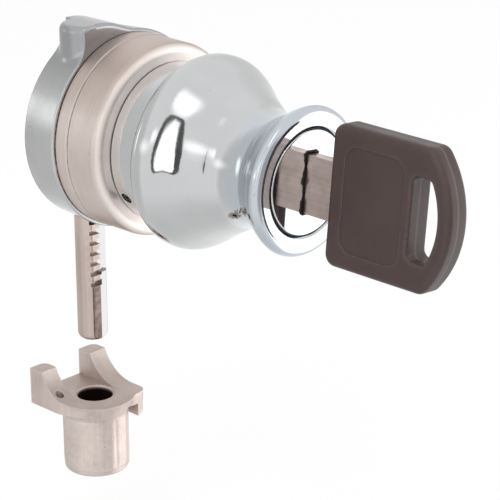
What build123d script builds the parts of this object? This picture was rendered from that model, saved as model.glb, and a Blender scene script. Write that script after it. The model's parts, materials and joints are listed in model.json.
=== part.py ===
from build123d import *
import os
from math import acos, asin, ceil, cos, degrees, pi, radians, sin, sqrt

# A knob-operated plunger lock and its strike, in millimetres.
# The mounting face is the plane Y = 0, and the origin is the centre of that face.
# The knob stands in front of it, towards -Y, and the plunger points down, towards -Z.
# "back" and "front" are distances in front of the mounting face, so Y is minus such a distance.
# A clock angle is seen from the front: 0 is up, and it grows clockwise.

os.makedirs("parts", exist_ok=True)

# Clearances
RUN = 0.05               # radial, between a turning or sliding shaft and its hole
LOOSE = 0.15             # beside pieces that pass each other
GAP = 0.3                # between a moving piece and a wall that it must not touch
SEAM = 0.2               # small chamfer that draws the joint line between stacked rings

# Rear housing, chrome
HOUSING_BACK_RADIUS = 15.6
HOUSING_FRONT_RADIUS = 16.1
HOUSING_DEPTH = 7.0
HOUSING_EDGE_ROUND = 0.35
EAR_WALL = 1.26          # wall of the upright barrel round the plunger's bore
EAR_TOP = 18.1           # height of the barrel above the knob's axis
EAR_ROOF = 1.5           # roof over the plunger's bore
EAR_ROUND = 1.1
EAR_FRONT_ROUND = 0.7    # along the slope's front edge
EAR_FOOT_ROUND = 2.5     # hollow between the barrel and the round body
EAR_SLOPE_REACH = 5.5    # where the slope beside the ear meets the round body, right of centre
EAR_KNEE_REACH = 4.6     # where the slope begins, right of the plunger's axis
EAR_KNEE_DROP = 0.8      # and how far below the barrel's top

# Spacer ring and front drum, nickel
RING_RADIUS = 15.6
RING_WIDTH = 2.6
RING_BORE = 12.5
DRUM_RADIUS = 15.5
DRUM_WIDTH = 6.7
DRUM_EDGE_ROUND = 1.5
SPINDLE_RADIUS = 11.0

# Knob, chrome
COLLAR_RADIUS = 12.6
COLLAR_LENGTH = 6.6      # visible between the drum and the knob's rim
RIM_RADIUS = 14.9
BULB_RADIUS = 15.35
BULB_LENGTH = 15.2       # from the rim's back to the waist
WAIST_RADIUS = 9.1
LIP_RADIUS = 11.5
LIP_LENGTH = 6.6         # from the waist to the widest part of the front lip
LIP_CROWN = 1.2          # how far the lip's face stands in front of its widest part
KNOB_TURN = 150.0        # degrees from locked to drawn back
KNOB_CLOCK = 6.0         # the keyway leans this far clockwise at rest

# Drive wheel and plunger
STUD_COUNT = 22
STUD_RADIUS = 0.4
WHEEL_PITCH_RADIUS = 6.2  # the studs' circle, and the plunger's distance from the knob's axis
WHEEL_RADIUS = 12.2
WHEEL_WIDTH = 1.4
WHEEL_HOLE = 3.4
RACK_CLEARANCE = 0.06
RACK_DEPTH = 0.85        # depth of a tooth space below the plunger's flat
RACK_LENGTH = 26.2
RELIEF_LENGTH = 23.1     # the step beside the teeth, which lets the studs swing clear
RACK_REACH = 0.35        # how far the teeth reach past the studs' circle, towards the knob's axis
PLUNGER_RADIUS = 2.45
PLUNGER_FLAT = 0.4       # depth of the flat that carries the teeth
PLUNGER_FRONT = 4.0      # the plunger's axis in front of the mounting face
PLUNGER_REACH = 34.8     # the tip's depth below the knob's axis
PLUNGER_TIP_ROUND = 1.1

# Washers and the stop
THRUST_INNER = 7.4
THRUST_OUTER = 10.4
THRUST_WIDTH = 0.4
BOW_WIDTH = 0.25
BOW_HEIGHT = 0.6
STOP_RADIUS = 0.8
STOP_CIRCLE = 11.5
STOP_CLOCK = 90.0
STOP_DEPTH = 2.2

# Lock cylinder
SHELL_RADIUS = 8.25
SHELL_BACK = 15.65
CYLINDER_FRONT = 45.1
PLUG_RADIUS = 6.0
PLUG_HEAD_RADIUS = 7.4
PLUG_HEAD_WIDTH = 1.1
PLUG_TAIL = 1.25         # length of the round tail behind the shell
CAP_RADIUS = 8.05
CAP_WIDTH = 0.6
CLIP_RADIUS = 6.7
CLIP_WIDTH = 0.5
CLIP_DEPTH = 0.7
WAFER_COUNT = 5
WAFER_PITCH = 3.0
WAFER_WIDTH = 1.4
WAFER_FIRST = 41.0
WAFER_HALF = 3.4
WAFER_SPRING_RADIUS = 0.5
WAFER_WIRE = 0.08
CAVITY_RADIUS = 7.0      # the hollow behind the shell, which holds the cam

# Cam and locking dog
CAM_LOW = 4.6
CAM_THROW = 1.8
CAM_TURN = 90.0
CAM_WIDTH = 2.0
CAM_DWELL = 18.0
SQUARE_SIDE = 5.0
CAM_SCREW_RADIUS = 1.25
CAM_SCREW_HEAD = 2.8
CAM_SCREW_HEAD_WIDTH = 1.5
CAM_SCREW_LENGTH = 5.5
DOG_RADIUS = 0.9
DOG_FOOT_RADIUS = 1.5
DOG_FOOT_LENGTH = 1.5
DOG_SEAT = 9.4           # where the dog's spring bears in the spindle
DOG_WIRE = 0.13
DOG_SPRING_RADIUS = 1.22
COIL_STEPS = 8           # straight steps in one turn of a coil spring

# Key
KEY_WIDTH = 2.0
KEY_HALF_HEIGHT = 4.5
KEY_TIP = 21.6
KEY_SHOULDER = 51.3      # where the blade enters the head
KEY_TANG = 9.0
KEY_CUTS = (0.7, 1.2, 0.4, 1.5, 0.9)
KEY_CUT_FLAT = 0.9
HEAD_LENGTH = 22.5
HEAD_HALF_HEIGHT = 10.75
HEAD_STRAIGHT = 18.25     # length of the head's straight upper and lower edges
HEAD_THICKNESS = 4.5
HEAD_CORNER = 1.9
HEAD_EDGE_ROUND = 1.0
PANEL_DEPTH = 0.15
PANEL_RIM = 2.8
PANEL_CORNER = 2.4
PANEL_TO_SLOT = 1.4
SLOT_HALF_HEIGHT = 6.2
SLOT_WIDTH = 4.9
SLOT_RIM = 2.3           # plastic left outside the slot
SLOT_CORNER = 1.2
SLOT_ROUND = 0.4

# Screws
BODY_SCREW_CIRCLE = 13.6
BODY_SCREW_CLOCKS = (60.0, 180.0, 300.0)
BODY_SCREW_RADIUS = 0.8
BODY_SCREW_HEAD = 1.6
BODY_SCREW_HEAD_WIDTH = 1.3
BODY_SCREW_GRIP = 4.5    # length held in the drum
WHEEL_SCREW_CIRCLE = 9.0
WHEEL_SCREW_CLOCKS = (60.0, 180.0, 300.0)
WHEEL_SCREW_RADIUS = 0.6
WHEEL_SCREW_HEAD = 1.3
WHEEL_SCREW_LENGTH = 5.5
DRIVER_SLOT = 0.35
GRUB_RADIUS = 1.0
GRUB_SINK = 1.0
GRUB_PLACE = 1.5         # from the drum's face to the screw's axis
GRUB_CLOCK = 239.5
GRUB_SOCKET = 0.45

# Holes for the two screws that come through the door
MOUNT_HOLE_RADIUS = 1.65
MOUNT_HOLE_DEPTH = 5.2
MOUNT_HOLE_SPACING = 18.0

# Strike, standing below the plunger, with its own sizes taken from its hole's axis
STRIKE_DROP = 10.2       # from the plunger's tip down to the strike's face
STRIKE_HOLE_RADIUS = 2.9
STRIKE_HOLE_CHAMFER = 0.3
STRIKE_BARREL_RADIUS = 5.35
STRIKE_HEIGHT = 13.0
STRIKE_BARREL_ROUND = 0.7
STRIKE_COLLAR_RADIUS = 6.6
STRIKE_COLLAR_DEPTH = 2.8
STRIKE_PLATE = 1.8
STRIKE_LEFT = 7.15
STRIKE_RIGHT = 7.0
STRIKE_BACK = 7.8
STRIKE_LEFT_FRONT = -1.0
STRIKE_RIGHT_FRONT = 4.8
STRIKE_CORNER = 1.6
HORN_HEIGHT = 4.45
HORN_LEFT_WIDTH = 3.2
HORN_RIGHT_WIDTH = 3.4
HORN_CORNER = 1.2        # round on each horn's upright back corner, on its right side
RAMP_RADIUS = 7.0        # hollow in front of the horns, ending level with the plate
RAMP_FOOT = 1.5          # where it does so, in front of the hole's axis
STRIKE_LIP_DEPTH = 3.1
STRIKE_LIP_WIDTH = 1.1
STRIKE_LIP_LENGTH = 5.5
STRIKE_LIP_EDGE = 0.15
NAIL_HOLE_RADIUS = 0.7
NAIL_HOLE_PLACE = (-5.9, 2.1)

# Places that follow from the sizes above
RING_BACK = HOUSING_DEPTH
DRUM_BACK = RING_BACK + RING_WIDTH
DRUM_FRONT = DRUM_BACK + DRUM_WIDTH
COLLAR_BACK = DRUM_FRONT + LOOSE
RIM_BACK = DRUM_FRONT + COLLAR_LENGTH
WAIST_FRONT = RIM_BACK + BULB_LENGTH
LIP_FRONT = WAIST_FRONT + LIP_LENGTH
WHEEL_BACK = HOUSING_DEPTH + THRUST_WIDTH + 2 * RUN
WHEEL_FRONT = WHEEL_BACK + WHEEL_WIDTH
BORE_RADIUS = PLUNGER_RADIUS + RUN
EAR_RADIUS = BORE_RADIUS + EAR_WALL
PLUNGER_X = -WHEEL_PITCH_RADIUS
FLAT_FRONT = PLUNGER_FRONT + PLUNGER_RADIUS - PLUNGER_FLAT
RACK_PITCH = 2 * pi * WHEEL_PITCH_RADIUS / STUD_COUNT
STUD_TIP = FLAT_FRONT - RACK_DEPTH + LOOSE
PLUNGER_TOP = -(STUD_RADIUS + RACK_CLEARANCE + RUN)
PLUNGER_TRAVEL = WHEEL_PITCH_RADIUS * radians(KNOB_TURN)
PLUG_BACK = SHELL_BACK - PLUG_TAIL
CAM_FRONT = PLUG_BACK - GAP
CAM_BACK = CAM_FRONT - CAM_WIDTH
DOG_FRONT = CAM_FRONT - DOG_FOOT_RADIUS
DOG_FOOT_BOTTOM = CAM_LOW + LOOSE
DOG_FOOT_TOP = DOG_FOOT_BOTTOM + DOG_FOOT_LENGTH
DOG_END = SPINDLE_RADIUS - LOOSE
STRIKE_FACE = -PLUNGER_REACH - STRIKE_DROP


def clock(radius, angle):
    """Return X and Z of a point on a circle round the knob's axis."""
    return radius * sin(radians(angle)), radius * cos(radians(angle))


def rod(radius, back, front, x=0, z=0):
    """A round bar along the knob's axis, or beside it."""
    return Pos(x, -(back + front) / 2, z) * Rot(90, 0, 0) * Cylinder(radius, front - back)


def tube(inner, outer, back, front):
    return rod(outer, back, front) - rod(inner, back - 1, front + 1)


def post(radius, bottom, top, x=0, front=0):
    """A round bar standing upright."""
    return Pos(x, -front, (bottom + top) / 2) * Cylinder(radius, top - bottom)


def block(x_range, front_range, z_range):
    """A box between two values on each axis."""
    size = [abs(b - a) for a, b in (x_range, front_range, z_range)]
    middle = [(a + b) / 2 for a, b in (x_range, front_range, z_range)]
    return Pos(middle[0], -middle[1], middle[2]) * Box(*size)


def outline(points):
    return make_face(Polyline(*points, close=True))


def turned(points):
    """Turn an outline of (radius, front) points about the knob's axis."""
    return revolve(outline([(radius, -front) for radius, front in points]), Axis.Y)


def radial(shape, angle):
    """Turn an upright shape round the knob's axis to a clock angle."""
    return shape.rotate(Axis.Y, angle)


def edge_ring(shape, radius, front, tolerance=0.02):
    """The round edge of a turned shape at a radius and a distance in front."""
    found = ShapeList()
    for edge in shape.edges().filter_by(GeomType.CIRCLE):
        centre = edge.arc_center
        on_axis = abs(centre.X) < tolerance and abs(centre.Z) < tolerance
        if on_axis and abs(centre.Y + front) < tolerance and abs(edge.radius - radius) < tolerance:
            found.append(edge)
    return found


def coil(radius, wire, bottom, top, turns):
    """A coil spring round the Z axis, between two heights, in short straight steps."""
    steps = COIL_STEPS * turns
    rise = top - bottom - 3 * wire
    points = []
    for step in range(steps + 1):
        turn = 2 * pi * step / COIL_STEPS
        height = bottom + 1.5 * wire + rise * step / steps
        points.append((radius * cos(turn), radius * sin(turn), height))
    path = Polyline(*points)
    section = Plane(points[0], x_dir=(0, 0, 1), z_dir=path % 0) * Rectangle(2 * wire, 2 * wire)
    return sweep(section, path=path, transition=Transition.RIGHT)


def screw(radius, head_radius, head_width, length, slot):
    """A countersunk or cheese-head screw: head towards +Z at zero, shank below."""
    head = Pos(0, 0, -head_width / 2) * Cylinder(head_radius, head_width)
    shank = Pos(0, 0, -(head_width + length) / 2) * Cylinder(radius, length - head_width)
    driver = Pos(0, 0, -slot / 2) * Box(2 * head_radius, slot, slot)
    return head + shank - driver


def ear():
    """Upright barrel over the plunger's bore, with a slope that falls to the round body."""
    barrel = post(EAR_RADIUS, 0, EAR_TOP, PLUNGER_X, PLUNGER_FRONT)
    barrel = fillet(barrel.edges().group_by(Axis.Z)[-1], EAR_ROUND)
    barrel = barrel & block((-30, PLUNGER_X), (0, HOUSING_DEPTH), (0, 30))
    knee = (PLUNGER_X + EAR_KNEE_REACH, EAR_TOP - EAR_KNEE_DROP)
    end_height = sqrt(HOUSING_BACK_RADIUS ** 2 - EAR_SLOPE_REACH ** 2)
    fall = (end_height - knee[1]) / (EAR_SLOPE_REACH - knee[0])
    slope = extrude(Plane.XZ * make_face([
        Spline((PLUNGER_X, EAR_TOP), knee, tangents=[(1, 0), (1, fall)]),
        Line(knee, (EAR_SLOPE_REACH, end_height)),
        Line((EAR_SLOPE_REACH, end_height), (EAR_SLOPE_REACH, 0)),
        Line((EAR_SLOPE_REACH, 0), (PLUNGER_X, 0)),
        Line((PLUNGER_X, 0), (PLUNGER_X, EAR_TOP)),
    ]), HOUSING_DEPTH)
    front_top = slope.edges().filter_by(lambda edge: is_slope_front(edge))
    return barrel + fillet(front_top, EAR_FRONT_ROUND)


def is_slope_front(edge):
    """Whether an edge of the slope runs along its top, at the front."""
    middle = edge.center()
    at_front = abs(middle.Y + HOUSING_DEPTH) < 0.01
    return at_front and middle.Z > EAR_TOP - 4 * EAR_ROUND and middle.X > PLUNGER_X + 0.01


def is_ear_foot(edge):
    """Whether an edge lies where the barrel's left side meets the round body."""
    middle = edge.center()
    bent = edge.geom_type not in (GeomType.LINE, GeomType.CIRCLE)
    return bent and middle.X < PLUNGER_X and middle.Z < HOUSING_BACK_RADIUS - EAR_ROUND


def rear_housing():
    """Chrome casting: a flared disc with the ear, the plunger's bore and the studs' groove."""
    body = turned([
        (0, 0),
        (HOUSING_BACK_RADIUS, 0),
        (HOUSING_FRONT_RADIUS, HOUSING_DEPTH),
        (0, HOUSING_DEPTH),
    ])
    body += ear()
    foot = body.edges().filter_by(lambda edge: is_ear_foot(edge))
    body = fillet(foot, EAR_FOOT_ROUND)
    body = fillet(edge_ring(body, HOUSING_FRONT_RADIUS, HOUSING_DEPTH), HOUSING_EDGE_ROUND)
    body -= post(BORE_RADIUS, -30, EAR_TOP - EAR_ROOF, PLUNGER_X, PLUNGER_FRONT)
    groove_half = STUD_RADIUS + GAP
    body -= tube(WHEEL_PITCH_RADIUS - groove_half, WHEEL_PITCH_RADIUS + groove_half,
                 STUD_TIP - LOOSE, HOUSING_DEPTH + 1)
    for angle in BODY_SCREW_CLOCKS:
        x, z = clock(BODY_SCREW_CIRCLE, angle)
        body -= rod(BODY_SCREW_RADIUS + RUN, -1, HOUSING_DEPTH + 1, x, z)
        body -= rod(BODY_SCREW_HEAD + RUN, -1, BODY_SCREW_HEAD_WIDTH + RUN, x, z)
    for side in (-1, 1):
        body -= rod(MOUNT_HOLE_RADIUS, -1, MOUNT_HOLE_DEPTH, 0, side * MOUNT_HOLE_SPACING / 2)
    x, z = clock(STOP_CIRCLE, STOP_CLOCK)
    body -= rod(STOP_RADIUS, HOUSING_DEPTH - STOP_DEPTH, HOUSING_DEPTH + 1, x, z)
    return body


def spacer_ring():
    ring = tube(RING_BORE, RING_RADIUS, RING_BACK, DRUM_BACK)
    ring = chamfer(edge_ring(ring, RING_RADIUS, DRUM_BACK), SEAM)
    ring = chamfer(edge_ring(ring, RING_RADIUS, RING_BACK), SEAM)
    for angle in BODY_SCREW_CLOCKS:
        x, z = clock(BODY_SCREW_CIRCLE, angle)
        ring -= rod(BODY_SCREW_RADIUS + RUN, RING_BACK - 1, DRUM_BACK + 1, x, z)
    return ring


def front_drum():
    """Nickel drum with the spindle's bearing and the two notches for the locking dog."""
    drum = tube(SPINDLE_RADIUS + RUN, DRUM_RADIUS, DRUM_BACK, DRUM_FRONT)
    drum = fillet(edge_ring(drum, DRUM_RADIUS, DRUM_FRONT), DRUM_EDGE_ROUND)
    drum = chamfer(edge_ring(drum, DRUM_RADIUS, DRUM_BACK), SEAM)
    for angle in BODY_SCREW_CLOCKS:
        x, z = clock(BODY_SCREW_CIRCLE, angle)
        drum -= rod(BODY_SCREW_RADIUS, DRUM_BACK - 1, DRUM_BACK + BODY_SCREW_GRIP + LOOSE, x, z)
    notch_end = DOG_END + CAM_THROW + GAP
    for angle in (0, KNOB_TURN):
        drum -= radial(post(DOG_RADIUS + LOOSE, SPINDLE_RADIUS - 1, notch_end, 0, DOG_FRONT), angle)
    return drum


def body_screws():
    """Three screws put in from the back, with their ends held in the drum."""
    length = DRUM_BACK + BODY_SCREW_GRIP
    one = screw(BODY_SCREW_RADIUS, BODY_SCREW_HEAD, BODY_SCREW_HEAD_WIDTH, length, DRIVER_SLOT)
    one = Rot(-90, 0, 0) * one
    screws = []
    for angle in BODY_SCREW_CLOCKS:
        x, z = clock(BODY_SCREW_CIRCLE, angle)
        screws.append(Pos(x, 0, z) * one)
    return Compound(screws)


def stop_pin():
    x, z = clock(STOP_CIRCLE, STOP_CLOCK)
    pin = rod(STOP_RADIUS, HOUSING_DEPTH - STOP_DEPTH, WHEEL_FRONT - RUN, x, z)
    return chamfer(pin.edges().group_by(Axis.Y)[0], STOP_RADIUS / 4)


def thrust_washer():
    return tube(THRUST_INNER, THRUST_OUTER, HOUSING_DEPTH + RUN, HOUSING_DEPTH + RUN + THRUST_WIDTH)


def bow_washer():
    """A spring ring bent into a bow, between the wheel and the drum."""
    middle = (WHEEL_FRONT + DRUM_BACK) / 2
    outer = WHEEL_RADIUS - RUN
    low = middle - BOW_HEIGHT / 2
    high = middle + BOW_HEIGHT / 2
    sheet = make_face([
        ThreePointArc((-outer, -(high - BOW_WIDTH)), (0, -low), (outer, -(high - BOW_WIDTH))),
        Line((outer, -(high - BOW_WIDTH)), (outer, -high)),
        ThreePointArc((outer, -high), (0, -(low + BOW_WIDTH)), (-outer, -high)),
        Line((-outer, -high), (-outer, -(high - BOW_WIDTH))),
    ])
    sheet = extrude(sheet, outer + 1, both=True)
    return sheet & tube(SPINDLE_RADIUS + LOOSE, outer, WHEEL_FRONT, DRUM_BACK)


def stud_wheel():
    """Crown wheel: round studs on the back of a disc, with a notch in its rim for the stop."""
    wheel = tube(WHEEL_HOLE, WHEEL_RADIUS, WHEEL_BACK, WHEEL_FRONT)
    for index in range(STUD_COUNT):
        x, z = clock(WHEEL_PITCH_RADIUS, 270 + 360 * index / STUD_COUNT)
        wheel += rod(STUD_RADIUS, STUD_TIP, WHEEL_BACK + RUN, x, z)
    half = degrees(asin((STOP_RADIUS + RUN) / STOP_CIRCLE))
    notch_floor = STOP_CIRCLE - STOP_RADIUS - RUN
    wheel -= arc_block(notch_floor, WHEEL_RADIUS + 1, STOP_CLOCK - KNOB_TURN - half, STOP_CLOCK + half,
                       WHEEL_BACK - 1, WHEEL_FRONT + 1)
    for angle in WHEEL_SCREW_CLOCKS:
        x, z = clock(WHEEL_SCREW_CIRCLE, angle)
        wheel -= rod(WHEEL_SCREW_RADIUS + RUN, WHEEL_BACK - 1, WHEEL_FRONT + 1, x, z)
        wheel -= Pos(x, -WHEEL_BACK, z) * Rot(-90, 0, 0) * screw_sink()
    return wheel


def arc_block(inner, outer, first, last, back, front):
    """A stretch of a ring between two clock angles."""
    face = outline([(inner, -back), (outer, -back), (outer, -front), (inner, -front)])
    return revolve(face, Axis.Y, last - first).rotate(Axis.Y, first - 90)


def screw_sink():
    """The cone under a small countersunk head, opening towards +Z at zero."""
    depth = WHEEL_SCREW_HEAD - WHEEL_SCREW_RADIUS
    return Pos(0, 0, -depth / 2) * Cone(WHEEL_SCREW_RADIUS + RUN, WHEEL_SCREW_HEAD + RUN, depth)


def wheel_screws():
    depth = WHEEL_SCREW_HEAD - WHEEL_SCREW_RADIUS
    head = Pos(0, 0, -depth / 2) * Cone(WHEEL_SCREW_RADIUS, WHEEL_SCREW_HEAD, depth)
    shank = Pos(0, 0, -(depth + WHEEL_SCREW_LENGTH) / 2)
    shank = shank * Cylinder(WHEEL_SCREW_RADIUS, WHEEL_SCREW_LENGTH - depth)
    driver = Pos(0, 0, -DRIVER_SLOT / 2) * Box(2 * WHEEL_SCREW_HEAD, DRIVER_SLOT, DRIVER_SLOT)
    one = Rot(-90, 0, 0) * (head + shank - driver)
    screws = []
    for angle in WHEEL_SCREW_CLOCKS:
        x, z = clock(WHEEL_SCREW_CIRCLE, angle)
        screws.append(Pos(x, -WHEEL_BACK, z) * one)
    return Compound(screws)


def knob_outline():
    """Half section of the knob: spindle, collar, bulb, waist and front lip."""
    bore = SHELL_RADIUS + RUN
    rim_front = RIM_BACK + 0.25
    bulb_front = RIM_BACK + 1.7
    face_front = LIP_FRONT + LIP_CROWN
    bulb = Spline(
        (BULB_RADIUS, -bulb_front),
        (BULB_RADIUS - 0.75, -(bulb_front + 2.3)),
        (WAIST_RADIUS + 3.3, -(bulb_front + 5.6)),
        (WAIST_RADIUS + 1.1, -(WAIST_FRONT - 4.1)),
        (WAIST_RADIUS, -WAIST_FRONT),
        tangents=[(0, -1), (0, -1)],
    )
    flare = Spline(
        (WAIST_RADIUS, -WAIST_FRONT),
        (WAIST_RADIUS + 0.75, -(WAIST_FRONT + 3.4)),
        (LIP_RADIUS, -LIP_FRONT),
        tangents=[(0, -1), (0.25, -1)],
    )
    lip = ThreePointArc(
        (LIP_RADIUS, -LIP_FRONT),
        (LIP_RADIUS - 0.45, -(LIP_FRONT + 0.85)),
        (LIP_RADIUS - 1.4, -face_front),
    )
    edges = [
        Line((CAVITY_RADIUS, -WHEEL_FRONT), (SPINDLE_RADIUS, -WHEEL_FRONT)),
        Line((SPINDLE_RADIUS, -WHEEL_FRONT), (SPINDLE_RADIUS, -COLLAR_BACK)),
        Line((SPINDLE_RADIUS, -COLLAR_BACK), (COLLAR_RADIUS, -COLLAR_BACK)),
        Line((COLLAR_RADIUS, -COLLAR_BACK), (COLLAR_RADIUS, -RIM_BACK)),
        Line((COLLAR_RADIUS, -RIM_BACK), (RIM_RADIUS - 0.3, -RIM_BACK)),
        Line((RIM_RADIUS - 0.3, -RIM_BACK), (RIM_RADIUS, -rim_front)),
        ThreePointArc((RIM_RADIUS, -rim_front), (RIM_RADIUS + 0.35, -(rim_front + 0.65)),
                      (BULB_RADIUS, -bulb_front)),
        bulb,
        flare,
        lip,
        Line((LIP_RADIUS - 1.4, -face_front), (bore + 0.3, -(face_front - 0.25))),
        Line((bore + 0.3, -(face_front - 0.25)), (bore, -(face_front - 0.6))),
        Line((bore, -(face_front - 0.6)), (bore, -SHELL_BACK)),
        Line((bore, -SHELL_BACK), (CAVITY_RADIUS, -SHELL_BACK)),
        Line((CAVITY_RADIUS, -SHELL_BACK), (CAVITY_RADIUS, -WHEEL_FRONT)),
    ]
    return make_face(edges)


def knob():
    """Chrome knob with its spindle, the dog's guide and the screws' holes."""
    body = revolve(knob_outline(), Axis.Y)
    body -= post(DOG_FOOT_RADIUS + LOOSE, 0, DOG_SEAT, 0, DOG_FRONT)
    body -= post(DOG_RADIUS + RUN, 0, SPINDLE_RADIUS + 1, 0, DOG_FRONT)
    for angle in WHEEL_SCREW_CLOCKS:
        x, z = clock(WHEEL_SCREW_CIRCLE, angle)
        body -= rod(WHEEL_SCREW_RADIUS, WHEEL_FRONT - 1, WHEEL_BACK + WHEEL_SCREW_LENGTH + LOOSE, x, z)
    body -= radial(post(GRUB_RADIUS, SHELL_RADIUS - 1, COLLAR_RADIUS + 1, 0, DRUM_FRONT + GRUB_PLACE),
                   GRUB_CLOCK)
    return body


def grub_screw():
    top = COLLAR_RADIUS - GRUB_SINK
    screw_body = post(GRUB_RADIUS, SHELL_RADIUS, top, 0, DRUM_FRONT + GRUB_PLACE)
    socket = Pos(0, -(DRUM_FRONT + GRUB_PLACE), top - 0.5) * extrude(RegularPolygon(GRUB_SOCKET, 6), 1)
    return radial(screw_body - socket, GRUB_CLOCK)


def wafer_back(index):
    """The distance of a wafer's back face in front of the mounting face."""
    return WAFER_FIRST - index * WAFER_PITCH - WAFER_WIDTH / 2


def cylinder_shell():
    """Sleeve of the lock cylinder, broached above and below for the wafers."""
    shell = tube(PLUG_RADIUS + RUN, SHELL_RADIUS, SHELL_BACK, CYLINDER_FRONT)
    shell -= rod(PLUG_HEAD_RADIUS + RUN, CYLINDER_FRONT - PLUG_HEAD_WIDTH - RUN, CYLINDER_FRONT + 1)
    broach_back = wafer_back(WAFER_COUNT - 1) - WAFER_WIDTH
    broach_front = CYLINDER_FRONT - PLUG_HEAD_WIDTH - 2 * RUN - WAFER_WIDTH / 2
    broach_half = WAFER_HALF + LOOSE
    broach_depth = (PLUG_RADIUS + SHELL_RADIUS) / 2
    shell -= block((-broach_half, broach_half), (broach_back, broach_front), (-broach_depth, broach_depth))
    return shell.rotate(Axis.Y, KNOB_CLOCK)


def wafer_slot(index):
    """The slot in the plug for one wafer and its spring."""
    back = wafer_back(index) - RUN
    front = back + WAFER_WIDTH + 2 * RUN
    half = WAFER_HALF + RUN
    ledge = block((spring_left(), half + 1), (back - 1, front + 1), (-PLUG_RADIUS - 1, spring_bottom()))
    return block((-half, half), (back, front), (-PLUG_RADIUS - 1, PLUG_RADIUS + 1)) - ledge


def spring_left():
    return WAFER_HALF - 2 * WAFER_SPRING_RADIUS - 2 * LOOSE


def spring_bottom():
    return -0.65 * PLUG_RADIUS


def spring_top():
    return -0.1 * PLUG_RADIUS


def cylinder_plug():
    """Plug with its head, keyway, wafer slots, clip groove and square tail."""
    plug = rod(PLUG_RADIUS, PLUG_BACK, CYLINDER_FRONT)
    plug += rod(PLUG_HEAD_RADIUS, CYLINDER_FRONT - PLUG_HEAD_WIDTH, CYLINDER_FRONT)
    half = SQUARE_SIDE / 2
    plug += block((-half, half), (CAM_BACK, PLUG_BACK + 1), (-half, half))
    key_half = KEY_WIDTH / 2 + LOOSE
    key_height = KEY_HALF_HEIGHT + LOOSE
    plug -= block((-key_half, key_half), (KEY_TIP - GAP, CYLINDER_FRONT + 1), (-key_height, key_height))
    for index in range(WAFER_COUNT):
        plug -= wafer_slot(index)
    plug -= tube(PLUG_RADIUS - CLIP_DEPTH, PLUG_RADIUS + 1, clip_back() - RUN,
                 clip_back() + CLIP_WIDTH + RUN)
    plug -= rod(CAM_SCREW_RADIUS, CAM_BACK - 1, CAM_BACK + CAM_SCREW_LENGTH)
    return plug.rotate(Axis.Y, KNOB_CLOCK)


def clip_back():
    return SHELL_BACK - RUN - CLIP_WIDTH


def face_cap():
    """Bright cap pressed on the plug's head, with the keyhole."""
    front = CYLINDER_FRONT + CAP_WIDTH
    cap = rod(CAP_RADIUS, CYLINDER_FRONT, front)
    cap = fillet(edge_ring(cap, CAP_RADIUS, front), 0.25)
    key_half = KEY_WIDTH / 2 + LOOSE
    key_height = KEY_HALF_HEIGHT + LOOSE
    cap -= block((-key_half, key_half), (CYLINDER_FRONT - 1, front + 1), (-key_height, key_height))
    return cap.rotate(Axis.Y, KNOB_CLOCK)


def plug_clip():
    """Open spring clip in the plug's groove, behind the shell."""
    clip = tube(PLUG_RADIUS - CLIP_DEPTH, CLIP_RADIUS, clip_back(), clip_back() + CLIP_WIDTH)
    mouth = 0.6 * PLUG_RADIUS
    clip -= block((-mouth, mouth), (0, CYLINDER_FRONT), (0, 2 * PLUG_RADIUS))
    return clip.rotate(Axis.Y, 180)


def wafer(index):
    back = wafer_back(index)
    front = back + WAFER_WIDTH
    radius = PLUG_RADIUS - RUN
    plate = rod(radius, back, front) & block((-WAFER_HALF, WAFER_HALF), (back, front), (-radius, radius))
    plate -= block((spring_left() - RUN, radius), (back - 1, front + 1), (-radius, spring_top()))
    key_half = KEY_WIDTH / 2 + GAP
    key_height = KEY_HALF_HEIGHT + GAP
    plate -= block((-key_half, key_half), (back - 1, front + 1), (-key_height, key_height))
    return plate.rotate(Axis.Y, KNOB_CLOCK)


def wafer_springs():
    """One small coil spring beside each wafer, between the plug's ledge and the wafer."""
    springs = []
    x = spring_left() + LOOSE + WAFER_SPRING_RADIUS
    for index in range(WAFER_COUNT):
        front = wafer_back(index) + WAFER_WIDTH / 2
        spring = coil(WAFER_SPRING_RADIUS - WAFER_WIRE, WAFER_WIRE, spring_bottom(), spring_top(), 4)
        springs.append((Pos(x, -front, 0) * spring).rotate(Axis.Y, KNOB_CLOCK))
    return Compound(springs)


def tail_cam():
    """Spiral cam: its radius grows evenly, so the dog moves in proportion to the key's turn."""
    high = CAM_LOW + CAM_THROW
    steps = 6
    spiral = []
    for step in range(steps + 1):
        turn = CAM_TURN * step / steps
        x, z = clock(CAM_LOW + CAM_THROW * step / steps, -turn)
        spiral.append((x, z))
    low_start = clock(CAM_LOW, CAM_DWELL)
    low_middle = clock(CAM_LOW, CAM_DWELL / 2)
    high_end = clock(high, -CAM_TURN - CAM_DWELL)
    high_middle = clock(high, -CAM_TURN - CAM_DWELL / 2)
    edges = [
        Spline(*spiral),
        ThreePointArc(spiral[-1], high_middle, high_end),
        Line(high_end, clock(CAM_LOW, -CAM_TURN - 2 * CAM_DWELL)),
        ThreePointArc(clock(CAM_LOW, -CAM_TURN - 2 * CAM_DWELL), clock(CAM_LOW, 140), low_start),
        ThreePointArc(low_start, low_middle, spiral[0]),
    ]
    face = Plane.XZ.offset(CAM_BACK) * make_face(edges)
    cam = extrude(face, CAM_WIDTH)
    half = SQUARE_SIDE / 2
    square = block((-half, half), (CAM_BACK - 1, CAM_FRONT + 1), (-half, half))
    return cam - square.rotate(Axis.Y, KNOB_CLOCK)


def cam_screw():
    one = screw(CAM_SCREW_RADIUS, CAM_SCREW_HEAD, CAM_SCREW_HEAD_WIDTH,
                CAM_SCREW_HEAD_WIDTH + CAM_SCREW_LENGTH - LOOSE, 2 * DRIVER_SLOT)
    return Pos(0, -(CAM_BACK - CAM_SCREW_HEAD_WIDTH), 0) * Rot(-90, 0, 0) * one


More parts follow.
